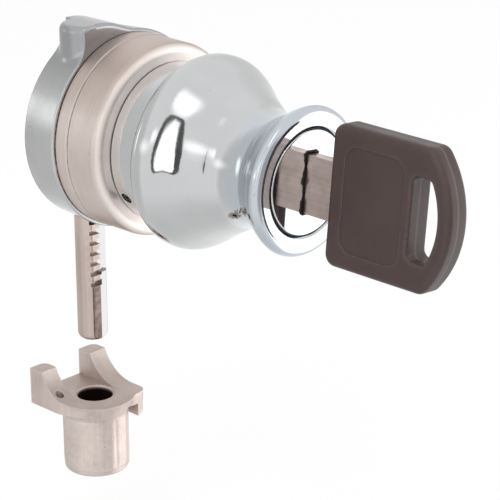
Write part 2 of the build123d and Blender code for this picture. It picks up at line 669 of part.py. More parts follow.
def locking_dog():
    """Stepped pin that the cam pushes out of the spindle into the drum."""
    foot = post(DOG_FOOT_RADIUS, DOG_FOOT_BOTTOM, DOG_FOOT_TOP, 0, DOG_FRONT)
    foot = fillet(foot.edges().group_by(Axis.Z)[0], DOG_FOOT_RADIUS / 3)
    stem = post(DOG_RADIUS, DOG_FOOT_TOP - RUN, DOG_END, 0, DOG_FRONT)
    stem = chamfer(stem.edges().group_by(Axis.Z)[-1], DOG_RADIUS / 3)
    return foot + stem


def dog_spring():
    spring = coil(DOG_SPRING_RADIUS, DOG_WIRE, DOG_FOOT_TOP, DOG_SEAT, 4)
    return Pos(0, -DOG_FRONT, 0) * spring


def space_half_height(turn):
    """Half the width of a tooth space where a stud has turned this far from the pitch point."""
    slip = WHEEL_PITCH_RADIUS * (turn - sin(turn))
    return STUD_RADIUS / cos(turn / 2) + slip + RACK_CLEARANCE


def tooth_space():
    """Outline of one space between teeth: the path of a round stud past the rack."""
    closed_x = PLUNGER_X - 0.7 * PLUNGER_RADIUS
    steps = 5
    widest = acos((WHEEL_PITCH_RADIUS - RACK_REACH - RUN) / WHEEL_PITCH_RADIUS)
    upper = []
    for step in range(steps + 1):
        turn = widest * step / steps
        upper.append((-WHEEL_PITCH_RADIUS * cos(turn), space_half_height(turn)))
    lower = [(x, -z) for x, z in reversed(upper)]
    edges = [
        Line((closed_x, upper[0][1]), upper[0]),
        Spline(*upper),
        Line(upper[-1], lower[0]),
        Spline(*lower),
        Line(lower[-1], (closed_x, lower[-1][1])),
        Line((closed_x, lower[-1][1]), (closed_x, upper[0][1])),
    ]
    return make_face(edges)


def plunger():
    """Round pin with a flat, and rack teeth cut across the flat for the wheel's studs."""
    pin = post(PLUNGER_RADIUS, -PLUNGER_REACH, PLUNGER_TOP, PLUNGER_X, PLUNGER_FRONT)
    pin = fillet(pin.edges().group_by(Axis.Z)[0], PLUNGER_TIP_ROUND)
    left = PLUNGER_X - PLUNGER_RADIUS - 1
    right = PLUNGER_X + PLUNGER_RADIUS + 1
    pin -= block((left, right), (FLAT_FRONT, FLAT_FRONT + 5), (-PLUNGER_REACH - 1, 1))
    floor_front = FLAT_FRONT - RACK_DEPTH
    pin -= block((PLUNGER_X + RACK_REACH, right), (floor_front, FLAT_FRONT + 5),
                 (-RELIEF_LENGTH, 1))
    space = extrude(Plane.XZ.offset(floor_front) * tooth_space(), RACK_DEPTH + 1)
    for index in range(ceil((RACK_LENGTH - RACK_PITCH / 2) / RACK_PITCH)):
        pin -= Pos(0, 0, -index * RACK_PITCH) * space
    return pin


def key_blade():
    """Nickel blade with cuts in both edges, and a tang inside the head."""
    half = KEY_HALF_HEIGHT
    upper = [(KEY_SHOULDER + KEY_TANG, half)]
    for index in range(WAFER_COUNT):
        middle = WAFER_FIRST - index * WAFER_PITCH
        depth = KEY_CUTS[index % len(KEY_CUTS)]
        slope = KEY_CUT_FLAT / 2 + depth
        upper.append((middle + slope, half))
        upper.append((middle + KEY_CUT_FLAT / 2, half - depth))
        upper.append((middle - KEY_CUT_FLAT / 2, half - depth))
        upper.append((middle - slope, half))
    upper = keep_falling(upper)
    upper.append((KEY_TIP + 0.6 * half, half))
    upper.append((KEY_TIP, 0.4 * half))
    lower = [(front, -height) for front, height in reversed(upper)]
    face = outline([(-front, height) for front, height in upper + lower])
    blade = extrude(Plane.YZ * face, KEY_WIDTH / 2, both=True)
    return blade.rotate(Axis.Y, KNOB_CLOCK)


def keep_falling(points):
    """Drop the points that a neighbouring cut's slope has passed."""
    kept = [points[0]]
    for point in points[1:]:
        if point[0] < kept[-1][0] - 0.01:
            kept.append(point)
    return kept


def head_outline():
    """Key head: straight sides, rounded corners and one large arc at the outer end."""
    straight = KEY_SHOULDER + HEAD_STRAIGHT
    end = KEY_SHOULDER + HEAD_LENGTH
    face = make_face([
        Line((-straight, HEAD_HALF_HEIGHT), (-KEY_SHOULDER, HEAD_HALF_HEIGHT)),
        Line((-KEY_SHOULDER, HEAD_HALF_HEIGHT), (-KEY_SHOULDER, -HEAD_HALF_HEIGHT)),
        Line((-KEY_SHOULDER, -HEAD_HALF_HEIGHT), (-straight, -HEAD_HALF_HEIGHT)),
        ThreePointArc((-straight, -HEAD_HALF_HEIGHT), (-end, 0), (-straight, HEAD_HALF_HEIGHT)),
    ])
    return fillet(face.vertices(), HEAD_CORNER)


def slot_outline():
    """Slot near the outer end: straight inside, and parallel to the end's arc outside."""
    outer = KEY_SHOULDER + HEAD_LENGTH - SLOT_RIM
    inner = outer - SLOT_WIDTH
    high = SLOT_HALF_HEIGHT
    end_bow = 0.27 * high
    face = make_face([
        Line((-inner, high), (-inner, -high)),
        Line((-inner, -high), (-(outer - end_bow), -high)),
        ThreePointArc((-(outer - end_bow), -high), (-outer, 0), (-(outer - end_bow), high)),
        Line((-(outer - end_bow), high), (-inner, high)),
    ])
    return fillet(face.vertices(), SLOT_CORNER)


def key_head():
    """Dark plastic head moulded over the blade's tang, with a faint panel on each side."""
    half = HEAD_THICKNESS / 2
    head = extrude(Plane.YZ * head_outline(), half, both=True)
    rims = head.edges().filter_by(lambda e: abs(abs(e.center().X) - half) < 0.01)
    head = fillet(rims, HEAD_EDGE_ROUND)
    panel_back = KEY_SHOULDER + PANEL_RIM
    panel_front = KEY_SHOULDER + HEAD_LENGTH - SLOT_RIM - SLOT_WIDTH - PANEL_TO_SLOT
    panel_face = RectangleRounded(panel_front - panel_back, 2 * (HEAD_HALF_HEIGHT - PANEL_RIM), PANEL_CORNER)
    panel_face = Pos(-(panel_back + panel_front) / 2, 0) * panel_face
    for side in (-1, 1):
        head -= extrude(Plane.YZ.offset(side * (half - PANEL_DEPTH)) * panel_face, side)
    before_slot = head.edges()
    head -= extrude(Plane.YZ * slot_outline(), HEAD_THICKNESS, both=True)
    slot_rims = (head.edges() - before_slot).filter_by(lambda e: abs(abs(e.center().X) - half) < 0.01)
    head = fillet(slot_rims, SLOT_ROUND)
    tang = block((-KEY_WIDTH / 2, KEY_WIDTH / 2), (KEY_SHOULDER - 1, KEY_SHOULDER + KEY_TANG),
                 (-KEY_HALF_HEIGHT, KEY_HALF_HEIGHT))
    return (head - tang).rotate(Axis.Y, KNOB_CLOCK)


def strike_horn(x_range):
    """One horn: an upright block with a quarter-round hollow in front of it."""
    horn = block(x_range, (-STRIKE_BACK, RAMP_FOOT), (-STRIKE_PLATE, HORN_HEIGHT))
    corner = horn.edges().filter_by(Axis.Z).sort_by(Axis.Y)[-2:].sort_by(Axis.X)[-1]
    horn = fillet(corner, HORN_CORNER)
    hollow = Pos((x_range[0] + x_range[1]) / 2, -RAMP_FOOT, RAMP_RADIUS)
    hollow = hollow * Rot(0, 90, 0) * Cylinder(RAMP_RADIUS, STRIKE_LEFT + STRIKE_RIGHT)
    return horn - hollow


def strike_lip():
    """Flange turned down under the plate's right edge."""
    front = STRIKE_RIGHT_FRONT - STRIKE_CORNER / 2
    lip = block((STRIKE_RIGHT - STRIKE_LIP_WIDTH, STRIKE_RIGHT), (front - STRIKE_LIP_LENGTH, front),
                (-STRIKE_PLATE - STRIKE_LIP_DEPTH, -STRIKE_PLATE / 2))
    foot = lip.edges().filter_by(Axis.Y).group_by(Axis.Z)[0].sort_by(Axis.X)[-1]
    return fillet(foot, STRIKE_LIP_WIDTH - STRIKE_LIP_EDGE)


def strike_prism(bottom, top):
    """The plate's outline, seen from above, between two heights."""
    prism = extrude(Plane.XY.offset(bottom) * outline([
        (-STRIKE_LEFT, STRIKE_BACK),
        (-STRIKE_LEFT, -STRIKE_LEFT_FRONT),
        clock(STRIKE_COLLAR_RADIUS, 235),
        clock(STRIKE_COLLAR_RADIUS, 145),
        (STRIKE_RIGHT, -STRIKE_RIGHT_FRONT),
        (STRIKE_RIGHT, STRIKE_BACK),
    ]), top - bottom)
    front_corners = prism.edges().filter_by(Axis.Z).sort_by(Axis.Y)[:4]
    return fillet(front_corners, STRIKE_CORNER)


def strike():
    """Press-in strike: a fluted barrel, a plate with two horns and a hole for the plunger."""
    plate = strike_prism(-STRIKE_PLATE, 0)
    collar = Pos(0, 0, -STRIKE_COLLAR_DEPTH / 2)
    collar = collar * Cone(STRIKE_BARREL_RADIUS, STRIKE_COLLAR_RADIUS, STRIKE_COLLAR_DEPTH)
    barrel = Pos(0, 0, -STRIKE_HEIGHT / 2) * Cylinder(STRIKE_BARREL_RADIUS, STRIKE_HEIGHT)
    barrel = fillet(barrel.edges().group_by(Axis.Z)[0], STRIKE_BARREL_ROUND)
    body = plate + collar + barrel
    horns = strike_horn((-STRIKE_LEFT, -STRIKE_LEFT + HORN_LEFT_WIDTH))
    horns += strike_horn((STRIKE_RIGHT - HORN_RIGHT_WIDTH, STRIKE_RIGHT))
    body += horns & strike_prism(-STRIKE_PLATE, HORN_HEIGHT)
    body += strike_lip()
    body -= Pos(0, 0, -STRIKE_HEIGHT / 2) * Cylinder(STRIKE_HOLE_RADIUS, STRIKE_HEIGHT + 2)
    rim_radius = STRIKE_HOLE_RADIUS + STRIKE_HOLE_CHAMFER
    sink = Cone(STRIKE_HOLE_RADIUS, rim_radius, STRIKE_HOLE_CHAMFER)
    body -= Pos(0, 0, -STRIKE_HOLE_CHAMFER / 2) * sink
    nail = Cylinder(NAIL_HOLE_RADIUS, 3 * STRIKE_PLATE)
    body -= Pos(NAIL_HOLE_PLACE[0], NAIL_HOLE_PLACE[1], 0) * nail
    return Pos(PLUNGER_X, -PLUNGER_FRONT, STRIKE_FACE) * body


PARTS = {
    "rear_housing": rear_housing,
    "spacer_ring": spacer_ring,
    "front_drum": front_drum,
    "body_screws": body_screws,
    "stop_pin": stop_pin,
    "thrust_washer": thrust_washer,
    "bow_washer": bow_washer,
    "stud_wheel": stud_wheel,
    "wheel_screws": wheel_screws,
    "knob": knob,
    "grub_screw": grub_screw,
    "cylinder_shell": cylinder_shell,
    "cylinder_plug": cylinder_plug,
    "face_cap": face_cap,
    "plug_clip": plug_clip,
    "wafer_springs": wafer_springs,
    "tail_cam": tail_cam,
    "cam_screw": cam_screw,
    "locking_dog": locking_dog,
    "dog_spring": dog_spring,
    "plunger": plunger,
    "key_blade": key_blade,
    "key_head": key_head,
    "strike": strike,
}

for name, make in PARTS.items():
    export_step(make(), f"parts/{name}.step")

for number in range(WAFER_COUNT):
    export_step(wafer(number), f"parts/wafer_{number + 1}.step")

print("plunger travel", round(PLUNGER_TRAVEL, 3), "rack pitch", round(RACK_PITCH, 3))
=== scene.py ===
# %% [markdown]
# # A plunger lock, dressed for its photograph
#
# The lock's solid pieces come ready-made from the CAD model, at their real size and in their real
# places. This lesson gives them their finishes, adds the small pieces that only matter to the eye,
# and lights and frames them.

# %% The frame
import json
from math import cos, pi, radians, sin, tan

import bmesh
import bpy
from mathutils import Matrix, Vector


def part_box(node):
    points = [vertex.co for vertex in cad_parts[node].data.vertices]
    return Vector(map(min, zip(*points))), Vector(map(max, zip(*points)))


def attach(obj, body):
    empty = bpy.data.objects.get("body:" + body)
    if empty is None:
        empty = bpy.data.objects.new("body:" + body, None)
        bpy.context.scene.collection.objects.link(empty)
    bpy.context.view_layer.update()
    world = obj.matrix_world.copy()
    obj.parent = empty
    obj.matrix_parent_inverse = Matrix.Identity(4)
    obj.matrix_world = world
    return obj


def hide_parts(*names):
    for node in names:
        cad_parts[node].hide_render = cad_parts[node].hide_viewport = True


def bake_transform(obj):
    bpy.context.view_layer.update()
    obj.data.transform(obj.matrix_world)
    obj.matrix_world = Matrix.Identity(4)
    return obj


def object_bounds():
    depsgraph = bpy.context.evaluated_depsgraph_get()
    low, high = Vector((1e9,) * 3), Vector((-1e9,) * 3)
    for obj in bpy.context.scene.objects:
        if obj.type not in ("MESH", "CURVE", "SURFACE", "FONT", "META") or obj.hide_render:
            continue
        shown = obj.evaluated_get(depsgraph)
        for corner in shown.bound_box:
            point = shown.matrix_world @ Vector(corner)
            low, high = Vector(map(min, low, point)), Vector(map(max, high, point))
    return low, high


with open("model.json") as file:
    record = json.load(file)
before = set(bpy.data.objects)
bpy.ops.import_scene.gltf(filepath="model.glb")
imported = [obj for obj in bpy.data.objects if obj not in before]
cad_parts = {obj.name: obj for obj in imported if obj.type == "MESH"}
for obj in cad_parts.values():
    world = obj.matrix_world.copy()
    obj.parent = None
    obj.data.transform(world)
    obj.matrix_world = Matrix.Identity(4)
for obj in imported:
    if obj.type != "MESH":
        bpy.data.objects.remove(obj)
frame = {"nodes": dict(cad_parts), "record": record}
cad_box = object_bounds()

MM = 0.001
nodes = frame["nodes"]
scene = bpy.context.scene

# %% [markdown]
# ## The camera
#
# The photograph was taken with a long lens from the lock's left, in front and a little above. A
# camera could be placed by eye, but here its bearing, height and distance were worked out from
# circles whose real size is known, so the rendered outlines fall on the photographed ones. The
# camera's three axes are built from those angles and put straight into its matrix.

# %% Camera
CAMERA_BEARING = 46.286      # degrees to the lock's left of straight ahead
CAMERA_HEIGHT = 20.955       # degrees above the level
CAMERA_ROLL = -0.236
CAMERA_DISTANCE = 0.3492
CAMERA_LENS = 158.43         # mm
SENSOR_WIDTH = 36            # mm
NEAREST_SEEN = 0.01
LOOK_AT = Vector((0.00819, -0.02575, -0.01810))

bearing, height, roll = (radians(v) for v in (CAMERA_BEARING, CAMERA_HEIGHT, CAMERA_ROLL))
back = Vector((-sin(bearing) * cos(height), -cos(bearing) * cos(height), sin(height)))
level = Vector((cos(bearing), -sin(bearing), 0))
right = (Matrix.Rotation(roll, 3, back) @ level).normalized()
up = back.cross(right)


def put_in_scene(name, data):
    """A new object with that data, linked to the scene."""
    thing = bpy.data.objects.new(name, data)
    scene.collection.objects.link(thing)
    return thing


camera_data = bpy.data.cameras.new("camera")
camera_data.lens = CAMERA_LENS
camera_data.sensor_width = SENSOR_WIDTH
camera_data.clip_start = NEAREST_SEEN
camera = put_in_scene("camera", camera_data)
camera.matrix_world = Matrix.Translation(LOOK_AT + back * CAMERA_DISTANCE) @ Matrix(
    (right, up, back)).transposed().to_4x4()
scene.camera = camera
print("camera at", tuple(round(v, 4) for v in camera.matrix_world.translation))

# %% [markdown]
# ## Light and surroundings
#
# Polished metal has hardly any colour of its own: it shows what stands round it. A white room makes
# plain white chrome, so a photographer adds soft boxes for bright shapes and dark cards for
# contrast. Here the world is white to the camera and to reflections, and dimmer for the light it
# sheds, so colours render about as they are written. One strength for everything would either grey
# the background or wash out the metal.

# %% World
scene.view_settings.view_transform = "Standard"
world = bpy.data.worlds.new("studio")
scene.world = world
world.use_nodes = True
tree = world.node_tree
tree.nodes.clear()


def add(tree, kind, **values):
    """Add a node; values name its inputs (with spaces as underscores) or its own settings."""
    node = tree.nodes.new(kind)
    for key, value in values.items():
        name = key.replace("_", " ")
        if name in node.inputs:
            node.inputs[name].default_value = value
        else:
            setattr(node, key, value)
    return node


SHED_LIGHT = 0.62
light_path = add(tree, "ShaderNodeLightPath")
seen_or_glossy = add(tree, "ShaderNodeMath", operation="MAXIMUM")
tree.links.new(light_path.outputs["Is Camera Ray"], seen_or_glossy.inputs[0])
tree.links.new(light_path.outputs["Is Glossy Ray"], seen_or_glossy.inputs[1])
shown = add(tree, "ShaderNodeMath", operation="MAXIMUM")
tree.links.new(seen_or_glossy.outputs[0], shown.inputs[0])
tree.links.new(light_path.outputs["Is Transmission Ray"], shown.inputs[1])
strength = add(tree, "ShaderNodeMapRange", To_Min=SHED_LIGHT, To_Max=1.0)
tree.links.new(shown.outputs[0], strength.inputs["Value"])
background = add(tree, "ShaderNodeBackground", Color=(1, 1, 1, 1))
tree.links.new(strength.outputs[0], background.inputs["Strength"])
output = add(tree, "ShaderNodeOutputWorld")
tree.links.new(background.outputs[0], output.inputs["Surface"])
print("light shed by the world:", SHED_LIGHT)

# %% [markdown]
# ## The lamps
#
# Two large soft boxes give the satin nickel and the plastic their shape: a stronger one from the
# upper left, where the photograph's light comes from, and a weaker one from the right. Small lamps
# would draw hard spots. The chrome doesn't see them, because its bright shapes are set by the cards.


# %% Lamps
def lamp(name, place, aim, size, power):
    """A square soft box at a place, turned towards a point; reflections show the cards instead."""
    data = bpy.data.lights.new(name, "AREA")
    data.shape = "RECTANGLE"
    data.size, data.size_y = size
    data.energy = power
    thing = put_in_scene(name, data)
    direction = Vector(aim) - Vector(place)
    turned = direction.to_track_quat("-Z", "Y").to_matrix().to_4x4()
    thing.matrix_world = Matrix.Translation(place) @ turned
    thing.visible_glossy = False


LAMP_AIM = (0, -0.02, 0)
lamp("key_light", (-0.35, -0.25, 0.45), LAMP_AIM, (0.35, 0.35), 3.0)
lamp("fill_light", (0.45, -0.45, 0.25), LAMP_AIM, (0.4, 0.4), 1.6)

# %% [markdown]
# ## A bare material
#
# Every finish starts from the same three things: a node tree, one shader and an output. Glossy and
# diffuse shaders could be mixed by hand, but the Principled shader covers metal and plastic alike,
# so each finish only has to say what feeds it.


# %% Materials to start from
def material(name):
    """A new material with its output and one Principled shader."""
    made = bpy.data.materials.new(name)
    made.use_nodes = True
    made.node_tree.nodes.clear()
    shader = add(made.node_tree, "ShaderNodeBsdfPrincipled")
    result = add(made.node_tree, "ShaderNodeOutputMaterial")
    made.node_tree.links.new(shader.outputs[0], result.inputs["Surface"])
    return made, made.node_tree, shader


# %% [markdown]
# ## The floor
#
# The photograph's background is plain white. A floor that only caught light would come out grey, so
# most of it glows white for the camera, and the rest is a matt white surface that still takes the
# lock's soft shadow. The chrome looks past the floor, at the cards.

# %% Floor
FLOOR_DEPTH = 0.02       # below the strike's foot
FLOOR_HALF = 1.5
floor_z = cad_box[0][2] - FLOOR_DEPTH
floor_corners = [(x * FLOOR_HALF, y * FLOOR_HALF, floor_z)
                 for x, y in ((-1, -1), (1, -1), (1, 1), (-1, 1))]
floor_mesh = bpy.data.meshes.new("floor")
floor_mesh.from_pydata(floor_corners, [], [(0, 1, 2, 3)])
floor_object = put_in_scene("floor", floor_mesh)
floor_object.visible_glossy = False
print("floor at", round(floor_z, 4))

# %% Floor finish
FLOOR_WHITE = (0.95, 0.95, 0.95, 1)
FLOOR_ROUGHNESS = 0.8
FLOOR_GLOW = 0.9         # share that glows for the camera
floor_material, tree, shader = material("floor")
shader.inputs["Base Color"].default_value = FLOOR_WHITE
shader.inputs["Roughness"].default_value = FLOOR_ROUGHNESS
output = tree.nodes["Material Output"]
light_path = add(tree, "ShaderNodeLightPath")
white = add(tree, "ShaderNodeEmission", Color=(1, 1, 1, 1), Strength=1.0)
blend = add(tree, "ShaderNodeMixShader")
portion = add(tree, "ShaderNodeMath", operation="MULTIPLY")
tree.links.new(light_path.outputs["Is Camera Ray"], portion.inputs[0])
portion.inputs[1].default_value = FLOOR_GLOW
tree.links.new(portion.outputs[0], blend.inputs[0])
tree.links.new(shader.outputs[0], blend.inputs[1])
tree.links.new(white.outputs[0], blend.inputs[2])
tree.links.new(blend.outputs[0], output.inputs["Surface"])
floor_mesh.materials.append(floor_material)
print("floor's glow:", FLOOR_GLOW)

# %% [markdown]
# ## Cards for the chrome
#
# The bright oval with a dark rim on the knob is a window seen in the chrome, and the broad dark
# shapes inside the lip are the dim side of the room behind the camera. Each is a card: a flat panel
# that only reflections see, placed by the direction from the knob and its angular size. The card's
# brightness fades into the white of the room towards its edge, or stops sharply for the window.
# A sharper look could come from a picture of a real room, but cards can be moved one at a time until
# each bright or dark shape falls where the photograph has it.


# %% Card finish
SHARPEST_FADE = 0.001


def card_finish(name, brightness, edge):
    """A glow that fades out towards the edge of a card two units across."""
    made = bpy.data.materials.new(name)
    made.use_nodes = True
    tree = made.node_tree
    tree.nodes.clear()
    place = add(tree, "ShaderNodeTexCoord")
    away = add(tree, "ShaderNodeVectorMath", operation="LENGTH")
    tree.links.new(place.outputs["Object"], away.inputs[0])
    share = add(tree, "ShaderNodeMapRange", interpolation_type="SMOOTHSTEP",
                From_Min=1.0, From_Max=1.0 - max(edge, SHARPEST_FADE), To_Min=0.0, To_Max=1.0)
    tree.links.new(away.outputs["Value"], share.inputs["Value"])
    glow = add(tree, "ShaderNodeEmission", Color=(1, 1, 1, 1), Strength=brightness)
    clear = add(tree, "ShaderNodeBsdfTransparent")
    mixed = add(tree, "ShaderNodeMixShader")
    result = add(tree, "ShaderNodeOutputMaterial")
    tree.links.new(share.outputs[0], mixed.inputs[0])
    tree.links.new(clear.outputs[0], mixed.inputs[1])
    tree.links.new(glow.outputs[0], mixed.inputs[2])
    tree.links.new(mixed.outputs[0], result.inputs["Surface"])
    return made


# %% Cards
KNOB_MIDDLE = Vector((0, -0.03, 0))


def card(name, azimuth, elevation, wide, tall, brightness, edge, tilt=0, distance=0.7):
    """An oval panel seen only in reflections. Angles in degrees: azimuth 0 is in front and grows
    towards +X, tilt turns the card in its own plane; edge is the share of the half-size over which
    it fades into the room."""
    heading, rise = radians(azimuth), radians(elevation)
    outward = Vector((sin(heading) * cos(rise), -cos(heading) * cos(rise), sin(rise)))
    centre = KNOB_MIDDLE + outward * distance
    half_wide = distance * tan(radians(wide / 2))
    half_tall = distance * tan(radians(tall / 2))
    mesh = bpy.data.meshes.new(name)
    form = bmesh.new()
    bmesh.ops.create_grid(form, x_segments=2, y_segments=2, size=1.0)
    form.to_mesh(mesh)
    form.free()
    panel = put_in_scene(name, mesh)
    facing = (-outward).to_track_quat("Z", "Y").to_matrix().to_4x4()
    turn = Matrix.Rotation(radians(tilt), 4, "Z")
    panel.matrix_world = Matrix.Translation(centre) @ facing @ turn @ Matrix.Diagonal(
        (half_wide, half_tall, 1, 1))
    panel.visible_camera = False
    panel.visible_diffuse = False
    panel.visible_shadow = False
    panel.visible_transmission = False
    mesh.materials.append(card_finish(name, brightness, edge))


# name, azimuth, elevation, wide, tall, brightness, edge
card("window", -62.0, 18, 7, 60, 1.9, 0.0, tilt=13.5, distance=0.60)
card("window_frame", -62.9, 18, 12.2, 66, 0.1, 0.06, tilt=13.5, distance=0.62)
card("left_wall", -73, 24, 15, 24, 1.7, 0.9, tilt=15, distance=0.66)
card("side_streak", -98, 12, 64, 22, 1.5, 1.0, tilt=-5, distance=0.64)
card("back_gleam", -148, 8, 16, 32, 1.8, 0.8, distance=0.66)
card("ceiling_glow", -40, 60, 15, 42, 2.0, 0.7, tilt=25)
card("front_panel", 52, -17, 46, 80, 1.9, 0.25)
card("dim_room", -8, -2, 66, 84, 0.5, 0.6, distance=0.68)
card("dim_back", -158, -4, 120, 120, 0.76, 0.5, distance=0.74)
card("dim_ground", -80, -78, 110, 90, 0.8, 0.9)
card("dim_side", 112, 0, 60, 100, 0.85, 0.8, distance=0.76)

# %% [markdown]
# ## Shared surface effects
#
# Every metal here needs the same few effects in different strengths: a slow drift of tone, fine lines
# from the lathe or from drawing, specks, and lighter edges and darker corners, which carry wear and
# grime as well as a painted highlight and a painted shade. Each is a node group with named sockets,
# built once, and each finish places it with its own values. A group hands out masks only; the shader
# stays in the material.


# %% Tools for node groups
def node_group(name, inputs, outputs):
    """A shader node group whose inputs are numbers with defaults and whose outputs are masks."""
    group = bpy.data.node_groups.new(name, "ShaderNodeTree")
    for key, value in inputs.items():
        socket = group.interface.new_socket(name=key, in_out="INPUT", socket_type="NodeSocketFloat")
        socket.default_value = value
    for key in outputs:
        group.interface.new_socket(name=key, in_out="OUTPUT", socket_type="NodeSocketFloat")
    start = add(group, "NodeGroupInput")
    end = add(group, "NodeGroupOutput")
    return group, start, end


def maths(tree, operation, first, second=None):
    """A Math node fed by sockets or plain numbers; gives its output socket."""
    node = add(tree, "ShaderNodeMath", operation=operation)
    for slot, value in enumerate((first, second)):
        if value is None:
            continue
        if isinstance(value, (int, float)):
            node.inputs[slot].default_value = value
        else:
            tree.links.new(value, node.inputs[slot])
    return node.outputs[0]


def stretch(tree, value, low, high, to_low=0.0, to_high=1.0):
    """Map a range onto another, clamped; gives the output socket."""
    node = add(tree, "ShaderNodeMapRange", From_Min=low, From_Max=high, To_Min=to_low, To_Max=to_high)
    tree.links.new(value, node.inputs["Value"])
    return node.outputs[0]


def place_on_piece(tree):
    """The place on the piece, in metres from the lock's origin: its socket, then its X, Y and Z."""
    place = add(tree, "ShaderNodeTexCoord")
    apart = add(tree, "ShaderNodeSeparateXYZ")
    tree.links.new(place.outputs["Object"], apart.inputs[0])
    return place.outputs["Object"], *apart.outputs


# %% [markdown]
# ### Slow drift
#
# No plated or moulded surface has quite the same tone all over. The patches could be painted on
# each piece, but a soft noise, a few millimetres from one light patch to the next, follows any
# shape and needs no picture. Every finish uses it as a mask to drift between two tones. Its middle
# range is stretched, because plain noise hardly ever reaches its ends.

# %% Drift
NOISE_RANGE = (0.3, 0.7)
drift, start, end = node_group("slow_drift", {"Scale": 150.0, "Detail": 3.0}, ["Mask"])
place = add(drift, "ShaderNodeTexCoord")
noise = add(drift, "ShaderNodeTexNoise")
drift.links.new(place.outputs["Object"], noise.inputs["Vector"])
drift.links.new(start.outputs["Scale"], noise.inputs["Scale"])
drift.links.new(start.outputs["Detail"], noise.inputs["Detail"])
drift.links.new(stretch(drift, noise.outputs[0], *NOISE_RANGE), end.inputs["Mask"])
print("group:", drift.name, len(drift.nodes), "nodes")

# %% [markdown]
# ### Lathe lines
#
# The knob, the drum and the ring are turned, so their fine lines run round the knob's axis. Real
# grooves would be finer than any mesh should be. Noise that only sees the distance from the axis
# and the place along it gives perfect rings, and a little of the real place is added, so that the
# rings fade in and out as they go round.

# %% Lathe lines
lathe, start, end = node_group("lathe_lines", {"Scale": 2500.0, "Wander": 0.02}, ["Mask"])
place, x, y, z = place_on_piece(lathe)
squares = [maths(lathe, "MULTIPLY", part, part) for part in (x, z)]
radius = maths(lathe, "SQRT", maths(lathe, "ADD", *squares))
ring_place = add(lathe, "ShaderNodeCombineXYZ")
lathe.links.new(radius, ring_place.inputs[0])
lathe.links.new(y, ring_place.inputs[1])
sway = add(lathe, "ShaderNodeVectorMath", operation="SCALE")
lathe.links.new(place, sway.inputs[0])
lathe.links.new(start.outputs["Wander"], sway.inputs["Scale"])
joined = add(lathe, "ShaderNodeVectorMath", operation="ADD")
lathe.links.new(ring_place.outputs[0], joined.inputs[0])
lathe.links.new(sway.outputs[0], joined.inputs[1])
noise = add(lathe, "ShaderNodeTexNoise", Detail=4.0)
lathe.links.new(joined.outputs[0], noise.inputs["Vector"])
lathe.links.new(start.outputs["Scale"], noise.inputs["Scale"])
lathe.links.new(stretch(lathe, noise.outputs[0], *NOISE_RANGE), end.inputs["Mask"])
print("group:", lathe.name, len(lathe.nodes), "nodes")

# %% [markdown]
# ### Drawn lines
#
# The plunger, the key's blade and the strike are drawn, milled or filed, and their lines are
# straight. A wave texture would space them evenly, as no file does. The same noise as before,
# squeezed across the lines and stretched along them, gives long uneven scratches.

# %% Drawn lines
drawn, start, end = node_group("drawn_lines", {
    "Across X": 3000.0, "Across Y": 3000.0, "Across Z": 60.0}, ["Mask"])
place = add(drawn, "ShaderNodeTexCoord")
factors = add(drawn, "ShaderNodeCombineXYZ")
for slot, key in enumerate(("Across X", "Across Y", "Across Z")):
    drawn.links.new(start.outputs[key], factors.inputs[slot])
stretched = add(drawn, "ShaderNodeVectorMath", operation="MULTIPLY")
drawn.links.new(place.outputs["Object"], stretched.inputs[0])
drawn.links.new(factors.outputs[0], stretched.inputs[1])
noise = add(drawn, "ShaderNodeTexNoise", Scale=1.0, Detail=4.0)
drawn.links.new(stretched.outputs[0], noise.inputs["Vector"])
drawn.links.new(stretch(drawn, noise.outputs[0], *NOISE_RANGE), end.inputs["Mask"])
print("group:", drawn.name, len(drawn.nodes), "nodes")

# %% [markdown]
# ### Specks
#
# Pits in the plating and specks of dirt are small and sparse. Noise cut off at a level would give
# blobs of every size. Voronoi cells give one point each instead: a point becomes a dot where the
# distance to it is short, and only a share of the cells keeps its dot.

# %% Specks
specks, start, end = node_group("specks", {"Scale": 900.0, "Size": 0.12, "Share": 0.5}, ["Mask"])
place = add(specks, "ShaderNodeTexCoord")
cells = add(specks, "ShaderNodeTexVoronoi")
specks.links.new(place.outputs["Object"], cells.inputs["Vector"])
specks.links.new(start.outputs["Scale"], cells.inputs["Scale"])
near = maths(specks, "LESS_THAN", cells.outputs["Distance"], start.outputs["Size"])
chosen = add(specks, "ShaderNodeSeparateColor")
specks.links.new(cells.outputs["Color"], chosen.inputs[0])
kept = maths(specks, "LESS_THAN", chosen.outputs[0], start.outputs["Share"])
specks.links.new(maths(specks, "MULTIPLY", near, kept), end.inputs["Mask"])
print("group:", specks.name, len(specks.nodes), "nodes")

# %% [markdown]
# ### Edges and corners
#
# Hands and cloths rub the edges bright, and grime stays in the corners; besides, the lighter edges
# are a painted highlight and the darker corners a painted shade. Both could be painted by hand, piece
# by piece, but ambient occlusion finds them on any shape: asked inside the metal it is dark near outer
# edges, and asked outside it is dark in inner corners. A noise breaks the two masks up, so that the
# wear and the shade aren't an even line.

# %% Edges and corners
OCCLUSION_RANGE = (0.95, 0.45)   # from open to hidden
PATCH_RANGE = (0.35, 0.65)
edges, start, end = node_group("edges_and_corners", {"Reach": 0.0004}, ["Edge", "Corner"])
place = add(edges, "ShaderNodeTexCoord")
breaks = add(edges, "ShaderNodeTexNoise", Scale=1400.0, Detail=3.0)
edges.links.new(place.outputs["Object"], breaks.inputs["Vector"])
patchy = stretch(edges, breaks.outputs[0], *PATCH_RANGE, 0.35, 1.0)
for key, inside in (("Edge", True), ("Corner", False)):
    around = add(edges, "ShaderNodeAmbientOcclusion", samples=6, inside=inside, only_local=inside)
    edges.links.new(start.outputs["Reach"], around.inputs["Distance"])
    hidden = stretch(edges, around.outputs["AO"], *OCCLUSION_RANGE)
    edges.links.new(maths(edges, "MULTIPLY", hidden, patchy), end.inputs[key])
print("node groups:", [g.name for g in bpy.data.node_groups])
